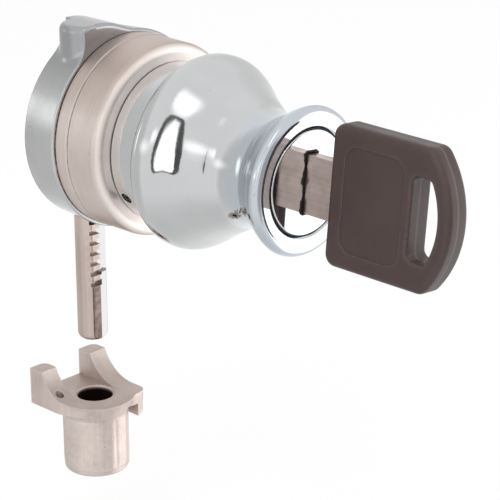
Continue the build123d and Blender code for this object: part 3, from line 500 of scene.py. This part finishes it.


# %% [markdown]
# ## Metal finishes
#
# Chrome, satin nickel, steel and brass differ in colour, in roughness and in how they were worked.
# One recipe serves them all: drift and lines vary the colour and the roughness, specks darken it with
# grime, corners darken it with grime and a painted shade, edges brighten it with wear and a painted
# highlight, and the lines and specks also raise a faint bump. The Bevel node rounds every edge by a
# tenth of a millimetre, which is how a real tumbled or plated edge catches light.
# Modelling that rounding on each edge would cost many small faces for the same gleam.


# %% Tools for finishes
def place_group(tree, group, **values):
    """Put a node group in a material, with its own values."""
    node = add(tree, "ShaderNodeGroup")
    node.node_tree = group
    for key, value in values.items():
        node.inputs[key.replace("_", " ")].default_value = value
    return node


def blend_colour(tree, share, first, second):
    """Mix two colours, each a socket or a tuple; gives the output socket."""
    node = add(tree, "ShaderNodeMix", data_type="RGBA")
    tree.links.new(share, node.inputs[0])
    for slot, value in ((6, first), (7, second)):
        if isinstance(value, tuple):
            node.inputs[slot].default_value = (*value, 1)
        else:
            tree.links.new(value, node.inputs[slot])
    return node.outputs[2]


def toned(colour, factor, lift=0.0):
    """A colour made lighter or darker by a factor, plus a lift, kept within white."""
    return tuple(min(1.0, factor * part + lift) for part in colour)


def skin(tree, shader, height, depth, rounding):
    """Feed the shader's normal: edges rounded by the Bevel node, then a bump of a depth in mm."""
    rounded = add(tree, "ShaderNodeBevel", samples=6, Radius=rounding)
    dent = add(tree, "ShaderNodeBump", Strength=1.0, Distance=depth * MM)
    tree.links.new(height, dent.inputs["Height"])
    tree.links.new(rounded.outputs[0], dent.inputs["Normal"])
    tree.links.new(dent.outputs[0], shader.inputs["Normal"])


# %% Metal recipe
LINE_LIGHT, EDGE_LIGHT = 1.12, 1.3
SPECK_DARK = 0.6
CORNER_ROUGHER = 0.15
LINE_ROUGHER = 0.25


def metal(name, colour, shade, grime_and_shade, roughness, lines, line_share=0.35, edge_wear_and_highlight=0.35,
          corner_shade_and_grime=0.7, speck_share=0.3, speck_size=0.1, bump=0.02, rounding=0.0001,
          drift_scale=160.0):
    """A worked metal: colour drifts to shade, grime lies in specks, grime and painted shade in corners,
    edges are lighter for wear and a painted highlight; roughness is a pair.
    """
    made, tree, shader = material(name)
    shader.inputs["Metallic"].default_value = 1.0
    slow = place_group(tree, drift, Scale=drift_scale)
    spots = place_group(tree, specks, Size=speck_size, Share=speck_share)
    worn = place_group(tree, edges)
    streaks = lines(tree)
    base = blend_colour(tree, slow.outputs["Mask"], colour, shade)
    base = blend_colour(tree, maths(tree, "MULTIPLY", streaks, line_share), base,
                        toned(colour, LINE_LIGHT))
    # Lighter edges: wear and a painted highlight.
    base = blend_colour(tree, maths(tree, "MULTIPLY", worn.outputs["Edge"], edge_wear_and_highlight), base,
                        toned(colour, EDGE_LIGHT))
    # Darker corners: grime and a painted shade.
    base = blend_colour(tree, maths(tree, "MULTIPLY", worn.outputs["Corner"], corner_shade_and_grime), base, grime_and_shade)
    base = blend_colour(tree, maths(tree, "MULTIPLY", spots.outputs["Mask"], SPECK_DARK), base, grime_and_shade)
    tree.links.new(base, shader.inputs["Base Color"])
    smooth, dull = roughness
    rough = stretch(tree, slow.outputs["Mask"], 0.0, 1.0, smooth, dull)
    rough = maths(tree, "ADD", rough, maths(tree, "MULTIPLY", worn.outputs["Corner"], CORNER_ROUGHER))
    rough = maths(tree, "ADD", rough, maths(tree, "MULTIPLY", streaks, LINE_ROUGHER * (dull - smooth)))
    tree.links.new(rough, shader.inputs["Roughness"])
    skin(tree, shader, maths(tree, "SUBTRACT", streaks, spots.outputs["Mask"]), bump, rounding)
    return made, tree, shader, base, rough


def turned_lines(scale, wander=0.02):
    """Rings round the knob's axis, as a lathe or a polishing wheel leaves them."""
    return lambda tree: place_group(tree, lathe, Scale=scale, Wander=wander).outputs["Mask"]


def lines_along(x, y, z):
    """Lines along the axis that has the small number."""
    return lambda tree: place_group(tree, drawn, Across_X=x, Across_Y=y, Across_Z=z).outputs["Mask"]


# %% [markdown]
# ## Chrome
#
# The knob is polished chrome over a turned blank, so it is nearly a mirror with a trace of rings.
# Its lip is tinted a little bluer than the bulb, and a brown stain has crept from the grub screw over
# the collar. Cutting the knob in two for the lip's chrome would leave a seam.
# Both are told by place instead: the lip by how far forward it lies, the stain by the distance from
# the screw, broken up by the drift.

# %% The knob's chrome
LIP_STARTS, LIP_FADE = -0.0365, 0.002    # Y where the lip begins
LIP_BLUE = (0.55, 0.6, 0.66)
STAIN_REACH, STAIN_CORE = 0.0034, 0.4    # the core is a share of the reach
STAIN_BROWN = (0.2, 0.15, 0.11)
chrome_knob, tree, shader, base, rough = metal(
    "chrome_knob", (0.61, 0.615, 0.62), (0.575, 0.585, 0.59), (0.12, 0.11, 0.1), (0.03, 0.07),
    turned_lines(1500, 0.005), line_share=0.1, speck_share=0.08, speck_size=0.07, bump=0.0006,
    rounding=0.00012)
place, _, y, _ = place_on_piece(tree)
cool = stretch(tree, y, LIP_STARTS, LIP_STARTS - LIP_FADE, 0.0, 0.7)
base = blend_colour(tree, cool, base, LIP_BLUE)
screw_low, screw_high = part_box("grub_screw")
away = add(tree, "ShaderNodeVectorMath", operation="DISTANCE")
tree.links.new(place, away.inputs[0])
away.inputs[1].default_value = [(low + high) / 2 for low, high in zip(screw_low, screw_high)]
blotch = place_group(tree, drift, Scale=420.0, Detail=4.0)
stain = maths(tree, "MULTIPLY",
              stretch(tree, away.outputs["Value"], STAIN_REACH, STAIN_CORE * STAIN_REACH),
              stretch(tree, blotch.outputs["Mask"], 0.2, 0.8, 0.3, 0.9))
base = blend_colour(tree, stain, base, STAIN_BROWN)
tree.links.new(base, shader.inputs["Base Color"])
rough = maths(tree, "ADD", rough, maths(tree, "MULTIPLY", stain, 0.25))
tree.links.new(rough, shader.inputs["Roughness"])
print("stain round the screw:", STAIN_REACH / MM, "mm")

# %% [markdown]
# ### The housing's and the cap's chrome
#
# The housing is cast, so its chrome is softer than the knob's. The ear keeps the housing's finish,
# because no line shows between the two, and only takes a painted shade above a level: a greyer tone.
# The face cap is a flat stamping and the brightest mirror of all.

# %% Cast and stamped chrome
EAR_STARTS, EAR_FADE = 0.0085, 0.004     # Z where the ear begins
EAR_SHADE_GREY = (0.36, 0.365, 0.37)
chrome_cast, tree, shader, base, _ = metal(
    "chrome_cast", (0.58, 0.58, 0.58), (0.5, 0.505, 0.51), (0.12, 0.11, 0.1), (0.16, 0.26),
    turned_lines(2200, 0.01), line_share=0.2, speck_share=0.15, speck_size=0.08, bump=0.002,
    rounding=0.00025)
*_, z = place_on_piece(tree)
# Painted shade: greyer above a level, over the ear.
ear_shade = stretch(tree, z, EAR_STARTS, EAR_STARTS + EAR_FADE, 0.0, 0.85)
tree.links.new(blend_colour(tree, ear_shade, base, EAR_SHADE_GREY), shader.inputs["Base Color"])

chrome_face, *_ = metal("chrome_face", (0.66, 0.66, 0.665), (0.63, 0.63, 0.64), (0.05, 0.045, 0.04),
                        (0.02, 0.05), turned_lines(1800, 0.005), line_share=0.1, speck_share=0.05,
                        speck_size=0.06, bump=0.0004, rounding=0.00008)
print("chromes:", chrome_knob.name, chrome_cast.name, chrome_face.name)

# %% [markdown]
# ## Satin nickel
#
# The ring, the drum, the pin, the key's blade and the strike are nickel, which is warmer than
# chrome and here has a satin lathe finish. On the drum the sides are painted darker above and below,
# a painted shade, and the narrow front face is painted brighter, a painted highlight. The faces
# could have a material each, but the change between them is soft, so the place on the piece steers it.

# %% Turned nickel
NICKEL_GRIME_AND_SHADE = (0.13, 0.085, 0.06)
DRUM_FACE, FACE_FADE = -0.0155, 0.0006   # Y of the drum's front
FACE_HIGHLIGHT = (0.98, 0.9, 0.86)
SIDES_SHADED = (0.006, 0.0125)     # distance from the level through the axis
SHADED_SIDE_NICKEL = (0.53, 0.44, 0.4)
nickel_turned, tree, shader, base, _ = metal(
    "nickel_turned", (0.72, 0.64, 0.6), (0.62, 0.54, 0.495), NICKEL_GRIME_AND_SHADE, (0.36, 0.48),
    turned_lines(2600, 0.03), line_share=0.5, bump=0.006, speck_share=0.1, speck_size=0.07)
*_, y, z = place_on_piece(tree)
# Painted highlight on the drum's front face, painted shade on its sides above and below.
face_highlight = stretch(tree, y, DRUM_FACE, DRUM_FACE - FACE_FADE, 0.0, 0.9)
side_shade = stretch(tree, maths(tree, "ABSOLUTE", z), *SIDES_SHADED, 0.0, 0.85)
base = blend_colour(tree, side_shade, base, SHADED_SIDE_NICKEL)
base = blend_colour(tree, face_highlight, base, FACE_HIGHLIGHT)
tree.links.new(base, shader.inputs["Base Color"])
print("turned nickel:", nickel_turned.name)

# %% [markdown]
# ### Drawn nickel
#
# The key's blade is milled along its length and worn by years of use, so it is darker and its lines
# are strong. The cylinder's shell hardly shows and has the plainest nickel. Only the numbers differ
# from the turned nickel, so the same recipe serves.

# %% Drawn nickel
nickel_plain, *_ = metal(
    "nickel_plain", (0.66, 0.585, 0.545), (0.55, 0.475, 0.435), NICKEL_GRIME_AND_SHADE, (0.25, 0.38),
    lines_along(2500, 60, 2500), bump=0.005)
nickel_key, *_ = metal(
    "nickel_key", (0.58, 0.48, 0.44), (0.44, 0.35, 0.31), (0.12, 0.08, 0.06), (0.24, 0.38),
    lines_along(900, 90, 3200), line_share=0.5, bump=0.008, speck_share=0.25, drift_scale=400.0)
print("drawn nickel:", nickel_plain.name, nickel_key.name)

# %% [markdown]
# ### The strike's nickel
#
# The strike is a small casting with a rougher nickel. The faces that look up are painted darker, a
# painted shade that the surface's own normal tells, and the hole is painted black as a painted shade.
# A dark disc laid in the hole would be in the pin's way, so the wall itself is darkened: it is found
# by the distance from the hole's middle, and the black comes in over the first bit of its depth.

# %% The strike's nickel
HOLE_MIDDLE = (-0.0062, -0.004)
HOLE_EDGE = 0.00297              # a little wider than the hole itself
HOLE_TOP, HOLE_BLACK = -0.0450, -0.0457
HOLE_SHADE = (0.03, 0.018, 0.012)
LOOKS_UP = (0.5, 0.9)            # the normal's Z, from sloping to level
SHADED_TOP_NICKEL = (0.47, 0.395, 0.36)
nickel_strike, tree, shader, base, rough = metal(
    "nickel_strike", (0.69, 0.605, 0.565), (0.57, 0.485, 0.445), NICKEL_GRIME_AND_SHADE, (0.4, 0.55),
    lines_along(1800, 1800, 120), line_share=0.5, bump=0.01, speck_share=0.2, speck_size=0.08,
    corner_shade_and_grime=0.4, drift_scale=240.0, rounding=0.00014)
place, x, y, z = place_on_piece(tree)
away = [maths(tree, "SUBTRACT", part, middle) for part, middle in zip((x, y), HOLE_MIDDLE)]
away = maths(tree, "SQRT", maths(tree, "ADD", *(maths(tree, "MULTIPLY", part, part) for part in away)))
# Painted shade: the hole's wall is painted black.
inside = maths(tree, "MULTIPLY", maths(tree, "LESS_THAN", away, HOLE_EDGE),
               stretch(tree, z, HOLE_TOP, HOLE_BLACK))
facing = add(tree, "ShaderNodeSeparateXYZ")
tree.links.new(place.node.outputs["Normal"], facing.inputs[0])
# Painted shade: faces that look up are painted darker.
top_shade = stretch(tree, facing.outputs[2], *LOOKS_UP, 0.0, 0.75)
base = blend_colour(tree, top_shade, base, SHADED_TOP_NICKEL)
tree.links.new(blend_colour(tree, inside, base, HOLE_SHADE), shader.inputs["Base Color"])
rough = maths(tree, "ADD", rough, maths(tree, "MULTIPLY", inside, 0.4))
tree.links.new(rough, shader.inputs["Roughness"])
print("the strike's nickel:", nickel_strike.name)

# %% [markdown]
# ## Steel and brass
#
# The screws are zinc-plated, the springs and washers are drawn spring steel, and the wheel, the cam
# and the dog are hardened and dark. The plug and its wafers are machined brass. Most of it shows
# only in the keyway, at the back or when the lock is taken apart. It could stay plain grey, but the
# same recipe with other colours costs four calls.

# %% Steel and brass
steel_zinc, *_ = metal("steel_zinc", (0.52, 0.52, 0.53), (0.44, 0.44, 0.46), (0.09, 0.08, 0.07),
                       (0.25, 0.4), lines_along(2500, 2500, 2500), bump=0.006)
steel_spring, *_ = metal("steel_spring", (0.42, 0.42, 0.43), (0.34, 0.34, 0.36), (0.07, 0.06, 0.05),
                         (0.22, 0.36), lines_along(3500, 3500, 300), bump=0.004)
steel_hard, *_ = metal("steel_hard", (0.36, 0.355, 0.35), (0.28, 0.275, 0.28), (0.06, 0.05, 0.045),
                       (0.3, 0.45), turned_lines(2400, 0.04), bump=0.008)
brass_turned, *_ = metal("brass_turned", (0.68, 0.47, 0.2), (0.57, 0.37, 0.15), (0.16, 0.1, 0.05),
                         (0.25, 0.38), turned_lines(2800, 0.03), bump=0.006)
print("steels:", steel_zinc.name, steel_spring.name, steel_hard.name, "brass:", brass_turned.name)

# %% [markdown]
# ## The plunger's two bands
#
# Down the pin's front run a dull brown band, where the teeth are cut and oil and dirt have settled
# and which also carries the painted shade of the toothed channel, and a bright band beside it,
# where the metal was cut away and polished. Strips laid on the pin would slide into the housing with
# it and catch there. The bands are told apart by their place on the pin: a band is where the surface
# lies on the flat, left or right of its middle line.

# %% Plunger finish
PIN_MIDDLE = -0.00608            # X of the line between the bands
TEETH_END = -0.0059              # X of the rack's right side
FLAT_PLACE = -0.0059             # Y in front of which the flat lies
RELIEF_PLACE = -0.00512          # Y in front of which the step beside the teeth lies
RACK_FOOT = (-0.0235, -0.0255)   # Z over which the brown band sets in
OIL_AND_SHADE_BROWN = (0.14, 0.098, 0.08)
BARE_BAND = (0.46, 0.46, 0.47)
nickel_pin, tree, shader, base, rough = metal(
    "nickel_pin", (0.6, 0.51, 0.465), (0.51, 0.425, 0.385), NICKEL_GRIME_AND_SHADE, (0.3, 0.44),
    lines_along(2400, 2400, 50), line_share=0.55, bump=0.006, speck_share=0.15, rounding=0.00006,
    corner_shade_and_grime=0.2)
_, x, y, z = place_on_piece(tree)
on_flat = maths(tree, "LESS_THAN", y, FLAT_PLACE)
right_half = maths(tree, "GREATER_THAN", x, PIN_MIDDLE)
left_half = maths(tree, "LESS_THAN", x, PIN_MIDDLE)
on_relief = maths(tree, "LESS_THAN", y, RELIEF_PLACE)
beyond_teeth = maths(tree, "GREATER_THAN", x, TEETH_END)
below_rack = stretch(tree, z, *RACK_FOOT, 0.25, 1.0)
# The brown band: oil and dirt, with the painted shade of the toothed channel.
oil_and_shade = maths(tree, "MULTIPLY", maths(tree, "MULTIPLY", on_flat, left_half), below_rack)
bright = maths(tree, "MAXIMUM", maths(tree, "MULTIPLY", on_flat, right_half),
               maths(tree, "MULTIPLY", on_relief, beyond_teeth))
stain = place_group(tree, drift, Scale=900.0, Detail=4.0)
oil_and_shade = maths(tree, "MULTIPLY", oil_and_shade, stretch(tree, stain.outputs["Mask"], 0.0, 0.8, 0.75, 1.0))
base = blend_colour(tree, oil_and_shade, base, OIL_AND_SHADE_BROWN)
base = blend_colour(tree, bright, base, BARE_BAND)
tree.links.new(base, shader.inputs["Base Color"])
rough = maths(tree, "SUBTRACT", rough, maths(tree, "MULTIPLY", bright, 0.24))
tree.links.new(rough, shader.inputs["Roughness"])
print("the pin's nickel:", nickel_pin.name)

# %% [markdown]
# ## Plastics
#
# The key's head is moulded in dark brown-grey plastic. Its skin has a very fine spark-eroded grain
# and is rubbed smoother on the rims where fingers hold it. The rims are also painted lighter, partly
# for wear and partly as a painted sheen, and inner corners darker as a painted shade. The washer
# behind the wheel is plain natural nylon. Each could be a material from scratch, but both are
# ordinary plastics that differ in tone, roughness and grain, so one recipe makes them.


# %% Plastic recipe
PLASTIC_GLOSS = 0.38
WEAR_REACH = 0.0009      # less than the wall over the blade's end, so that it doesn't show through
RIM_WEAR_AND_SHEEN, CORNER_SHADE_SHARE, DUST_SHARE = 0.85, 0.5, 0.25
RIM_SMOOTHER = 0.08


def plastic(name, colour, shade, roughness, grain_scale, grain_depth, rounding):
    """Moulded plastic with a grained skin, rubbed smoother on its edges; the edges are painted lighter
    for wear and a painted sheen, the corners darker with a painted shade.
    """
    made, tree, shader = material(name)
    shader.inputs["Specular IOR Level"].default_value = PLASTIC_GLOSS
    slow = place_group(tree, drift, Scale=120.0)
    grain = place_group(tree, drift, Scale=grain_scale, Detail=2.0)
    dust = place_group(tree, specks, Scale=1100.0, Size=0.07, Share=0.12)
    worn = place_group(tree, edges, Reach=WEAR_REACH)
    base = blend_colour(tree, slow.outputs["Mask"], colour, shade)
    # Lighter rims: wear and a painted sheen.
    base = blend_colour(tree, maths(tree, "MULTIPLY", worn.outputs["Edge"], RIM_WEAR_AND_SHEEN), base,
                        toned(colour, 1.6, 0.035))
    # Darker corners: a painted shade.
    base = blend_colour(tree, maths(tree, "MULTIPLY", worn.outputs["Corner"], CORNER_SHADE_SHARE), base,
                        toned(colour, 0.45))
    base = blend_colour(tree, maths(tree, "MULTIPLY", dust.outputs["Mask"], DUST_SHARE), base,
                        toned(colour, 2.2))
    tree.links.new(base, shader.inputs["Base Color"])
    rough = stretch(tree, slow.outputs["Mask"], 0.0, 1.0, *roughness)
    rough = maths(tree, "SUBTRACT", rough, maths(tree, "MULTIPLY", worn.outputs["Edge"], RIM_SMOOTHER))
    tree.links.new(rough, shader.inputs["Roughness"])
    skin(tree, shader, grain.outputs["Mask"], grain_depth, rounding)
    return made, tree, shader, base


nylon_washer, *_ = plastic("nylon_washer", (0.72, 0.7, 0.62), (0.66, 0.63, 0.55), (0.45, 0.6), 2500.0,
                           0.004, 0.0001)
print("plastic:", nylon_washer.name)

# %% [markdown]
# ### The key's head
#
# The head comes from a mould in two halves, so a faint ridge and a groove run round its edge where
# the halves met. Neither is a hair's width high or deep, so a painted highlight along the ridge and
# a painted shade along the groove stand for them. They lie in planes beside the blade's middle,
# which leans six degrees with the key, so the place is first turned upright and then measured across
# the head.

# %% The key's plastic
KEY_LEAN = radians(6)
GROOVE_PLACE, GROOVE_FADE = 0.0003, (0.00018, 0.00008)
RIDGE_PLACE, RIDGE_FADE = -0.0002, (0.0003, 0.00012)
RIDGE_HIGHLIGHT, GROOVE_SHADE = (0.13, 0.118, 0.114), (0.03, 0.025, 0.025)
plastic_key, tree, shader, base = plastic(
    "plastic_key", (0.048, 0.03, 0.028), (0.04, 0.024, 0.022), (0.34, 0.46), 3800.0, 0.004, 0.00045)
_, x, _, z = place_on_piece(tree)
across = maths(tree, "SUBTRACT", maths(tree, "MULTIPLY", x, cos(KEY_LEAN)),
               maths(tree, "MULTIPLY", z, sin(KEY_LEAN)))
from_groove = maths(tree, "ABSOLUTE", maths(tree, "SUBTRACT", across, GROOVE_PLACE))
from_ridge = maths(tree, "ABSOLUTE", maths(tree, "SUBTRACT", across, RIDGE_PLACE))
groove_shade = stretch(tree, from_groove, *GROOVE_FADE)
ridge = stretch(tree, from_ridge, *RIDGE_FADE)
# Painted highlight on the ridge and painted shade in the groove.
base = blend_colour(tree, maths(tree, "MULTIPLY", ridge, 0.4), base, RIDGE_HIGHLIGHT)
base = blend_colour(tree, maths(tree, "MULTIPLY", groove_shade, 0.4), base, GROOVE_SHADE)
tree.links.new(base, shader.inputs["Base Color"])
print("plastic:", plastic_key.name)

# %% [markdown]
# ## Finishes on the CAD pieces
#
# Each CAD piece keeps its shape and gets its finish by name. One line for each piece would do as
# well, but a table can be read at a glance. A piece that isn't named here, such as a screw or a
# wafer, takes the finish of its material slot in the record.

# %% Finishes on the CAD pieces
FINISHES = {
    "knob": chrome_knob, "rear_housing": chrome_cast, "face_cap": chrome_face,
    "spacer_ring": nickel_turned, "front_drum": nickel_turned, "cylinder_shell": nickel_plain,
    "plunger": nickel_pin, "key_blade": nickel_key, "strike": nickel_strike,
    "key_head": plastic_key, "thrust_washer": nylon_washer,
    "bow_washer": steel_spring, "plug_clip": steel_spring, "dog_spring": steel_spring,
    "wafer_springs": steel_spring, "stud_wheel": steel_hard, "tail_cam": steel_hard,
    "locking_dog": steel_hard, "cylinder_plug": brass_turned,
}
SLOT_FINISHES = {"steel": steel_zinc, "brass": brass_turned}
for entry in frame["record"]["subparts"]:
    thing = nodes[entry["node"]]
    finish = FINISHES.get(entry["node"]) or SLOT_FINISHES[entry["material_slot"]]
    thing.data.materials.clear()
    thing.data.materials.append(finish)


# %% [markdown]
# ## Small pieces for the eye
#
# Some details are too fine for the CAD model or have no working part in it: the strike's fluted
# barrel, a black ring of painted shade in the gap round the face cap, a ragged dark edge of painted
# shade round the keyhole and the threads in the mounting holes. The first three are closed meshes: a
# loop of profile points is carried round a path and joined up. Each rides on the body that carries it.


# %% Ring of sections
def ring_mesh(name, sections, finish, body):
    """A closed ring of equal sections, joined round into one mesh, riding on a body."""
    form = bmesh.new()
    rows = [[form.verts.new(point) for point in section] for section in sections]
    for here, after in zip(rows, rows[1:] + rows[:1]):
        for index in range(len(here)):
            following = (index + 1) % len(here)
            form.faces.new((here[index], here[following], after[following], after[index]))
    bmesh.ops.recalc_face_normals(form, faces=form.faces)
    mesh = bpy.data.meshes.new(name)
    form.to_mesh(mesh)
    form.free()
    mesh.shade_smooth()
    mesh.materials.append(finish)
    thing = put_in_scene(name, mesh)
    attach(thing, body)
    return thing


# %% [markdown]
# ### The strike's flutes
#
# The strike's barrel is pressed into a hole in the wood, and shallow upright flutes keep it from
# turning. On the real one they are uneven and worn. A bump would shade them but leave the barrel's
# outline smooth, so a sleeve of upright ridges lies over the plain barrel; its ends sink into the
# barrel, so it has no visible edge.

# %% Flutes
BARREL_RADIUS = 0.00535
FLUTE_HEIGHT = 0.000115
FLUTE_TOP, FLUTE_FOOT = -0.0479, -0.0572
FLUTE_SINK = 0.00016         # how deep the sleeve's ends lie in the barrel
FLUTE_STEPS = 288
FLUTE_COUNT = 19
FLUTE_PROFILE = ((0, -1), (0.02, 0), (0.05, 0.7), (0.1, 1), (0.25, 1), (0.4, 0.85), (0.55, 1),
                 (0.7, 0.9), (0.85, 1), (0.93, 0.7), (0.98, 0), (1, -1))   # share of the length, lift


def flute_height(turn):
    """How high the sleeve stands at an angle: spacing and wear change slowly round the barrel."""
    uneven = 0.7 * sin(3 * turn + 0.5) + 0.5 * sin(7 * turn)
    ridge = 0.5 + 0.5 * sin(FLUTE_COUNT * turn + uneven)
    worn = 0.55 + 0.3 * sin(2 * turn + 1.0) + 0.15 * sin(5 * turn)
    return FLUTE_HEIGHT * ridge ** 0.6 * worn


flute_sections = []
for step in range(FLUTE_STEPS):
    turn = 2 * pi * step / FLUTE_STEPS
    flute = flute_height(turn)
    section = []
    for share, lift in FLUTE_PROFILE:
        radius = BARREL_RADIUS + lift * (flute if lift > 0 else FLUTE_SINK)
        section.append((HOLE_MIDDLE[0] + radius * sin(turn), HOLE_MIDDLE[1] - radius * cos(turn),
                        FLUTE_TOP + share * (FLUTE_FOOT - FLUTE_TOP)))
    flute_sections.append(section)
flutes = ring_mesh("barrel_flutes", flute_sections, nickel_strike, "strike_body")
print("flutes:", len(flutes.data.polygons), "faces")

# %% [markdown]
# ### Painted shade in the cap's gap and round the keyhole
#
# A quarter of a millimetre lies between the bright face cap and the knob's bore, and the gap shows
# as a black ring of shade. The same black edge runs unevenly round the blade, the shade at the
# keyhole's edge. Both are painted shade: dark paint on the cap would mirror the room as the cap does,
# so both are low black beads with a dull finish of their own.

# %% Dark finish
# A black finish for the beads of painted shade.
shade_black, tree, shader = material("shade_black")
slow = place_group(tree, drift, Scale=1500.0, Detail=4.0)
tree.links.new(blend_colour(tree, slow.outputs["Mask"], (0.004, 0.003, 0.003), (0.012, 0.009, 0.008)),
               shader.inputs["Base Color"])
tree.links.new(stretch(tree, slow.outputs["Mask"], 0.0, 1.0, 0.5, 0.8), shader.inputs["Roughness"])
dent = add(tree, "ShaderNodeBump", Strength=1.0, Distance=0.02 * MM)
tree.links.new(slow.outputs["Mask"], dent.inputs["Height"])
tree.links.new(dent.outputs[0], shader.inputs["Normal"])
print("dark finish:", shade_black.name)

# %% Ring of painted shade in the gap
CAP_GAP = (0.00806, 0.00829)     # from the cap's rim to the knob's bore
CAP_GAP_FRONT, CAP_GAP_BACK = 0.0455, 0.04512    # before the door's face
SHADE_BEAD_CROWN = 0.00005           # how far the bead's middle stands up
SHADE_RING_STEPS = 180
ring_sections = []
for step in range(SHADE_RING_STEPS):
    turn = 2 * pi * step / SHADE_RING_STEPS
    front = CAP_GAP_FRONT + 0.00006 * sin(5 * turn + 1) + 0.00004 * sin(13 * turn)
    ring_sections.append([(radius * sin(turn), -depth, radius * cos(turn)) for radius, depth in (
        (CAP_GAP[0], CAP_GAP_BACK), (CAP_GAP[0], front - SHADE_BEAD_CROWN), (sum(CAP_GAP) / 2, front),
        (CAP_GAP[1], front - SHADE_BEAD_CROWN), (CAP_GAP[1], CAP_GAP_BACK))])
# A black bead of painted shade in the cap's gap.
gap_shade = ring_mesh("cap_gap_shade", ring_sections, shade_black, "knob_body")
print("grease ring:", len(gap_shade.data.polygons), "faces")

# %% Keyhole edge
KEYHOLE = (0.00117, 0.00467)     # half its width and half its height
CAP_FACE = 0.0457
EDGE_STEPS = 200
EDGE_PROFILE = ((0.0, -0.0001), (0.0, 0.00004), (0.5, 0.00013), (1.0, 0.00003), (1.0, -0.0001))
SIDE_SPREAD, END_SPREAD = 2, 1.2         # how much of the width shows beside and above the blade


def ragged_width(z):
    """How wide the chipped edge is at a height on the keyhole."""
    z = z / MM
    return 0.00017 + 0.00013 * sin(1.5 * z + 0.6) + 0.00005 * sin(4.1 * z) + 0.00002 * sin(9 * z)


edge_sections = []
for step in range(EDGE_STEPS):
    turn = 2 * pi * step / EDGE_STEPS
    side_reach, end_reach = abs(sin(turn)) / KEYHOLE[0], abs(cos(turn)) / KEYHOLE[1]
    reach = max(side_reach, end_reach)
    inner = (sin(turn) / reach, cos(turn) / reach)
    width = ragged_width(inner[1])
    if side_reach >= reach - 1e-6:
        outward = (1 if sin(turn) > 0 else -1, 0)
    else:
        outward = (0, 1 if cos(turn) > 0 else -1)
    edge_sections.append([])
    for share, lift in EDGE_PROFILE:
        x = inner[0] + outward[0] * share * SIDE_SPREAD * width
        z = inner[1] + outward[1] * share * END_SPREAD * width
        edge_sections[-1].append((x * cos(KEY_LEAN) + z * sin(KEY_LEAN), -(CAP_FACE + lift),
                                  z * cos(KEY_LEAN) - x * sin(KEY_LEAN)))
# A ragged black bead of painted shade round the keyhole.
keyhole_edge = ring_mesh("keyhole_edge", edge_sections, shade_black, "plug_body")
print("keyhole edge:", len(keyhole_edge.data.polygons), "faces")

# %% [markdown]
# ### Threads in the mounting holes
#
# The two blind holes in the back take M4 screws. A thread is a ridge wound along a helix. Cutting
# it into the holes would cost thousands of faces that hardly show, so a curve with a small round
# section is laid in each hole, half sunk in its wall.

# %% Threads
HOLE_RADIUS = 0.00165
HOLE_HEIGHT = 0.009          # of each hole's middle above or below the axis
THREAD_START = -0.0009       # Y of the first turn
THREAD_PITCH = 0.00063
THREAD_WIRE = 0.00012        # radius of the ridge's section
THREAD_TURNS, TURN_STEPS = 6, 24
for height, name in ((HOLE_HEIGHT, "upper_thread"), (-HOLE_HEIGHT, "lower_thread")):
    curve = bpy.data.curves.new(name, "CURVE")
    curve.dimensions = "3D"
    curve.bevel_depth = THREAD_WIRE
    curve.bevel_resolution = 2
    curve.use_fill_caps = True
    spline = curve.splines.new("POLY")
    spline.points.add(THREAD_TURNS * TURN_STEPS)
    for index, point in enumerate(spline.points):
        turn = 2 * pi * index / TURN_STEPS
        point.co = (HOLE_RADIUS * sin(turn), THREAD_START - THREAD_PITCH * index / TURN_STEPS,
                    height + HOLE_RADIUS * cos(turn), 1)
    curve.materials.append(chrome_cast)
    thread = put_in_scene(name, curve)
    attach(thread, "body")
print("threads:", THREAD_TURNS, "turns each")

# %% [markdown]
# ### The dog's spring
#
# Inside the spindle a small coil presses the locking dog onto its cam. One of its ends stays at the
# seat while the other moves with the dog. A coil that rode on the dog as one rigid piece would pierce
# the spindle. Here a copy of its mesh is made with its placement applied, and the CAD spring is hidden.

# %% Dog's spring
coil = put_in_scene("dog_coil", nodes["dog_spring"].data.copy())
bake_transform(coil)
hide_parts("dog_spring")
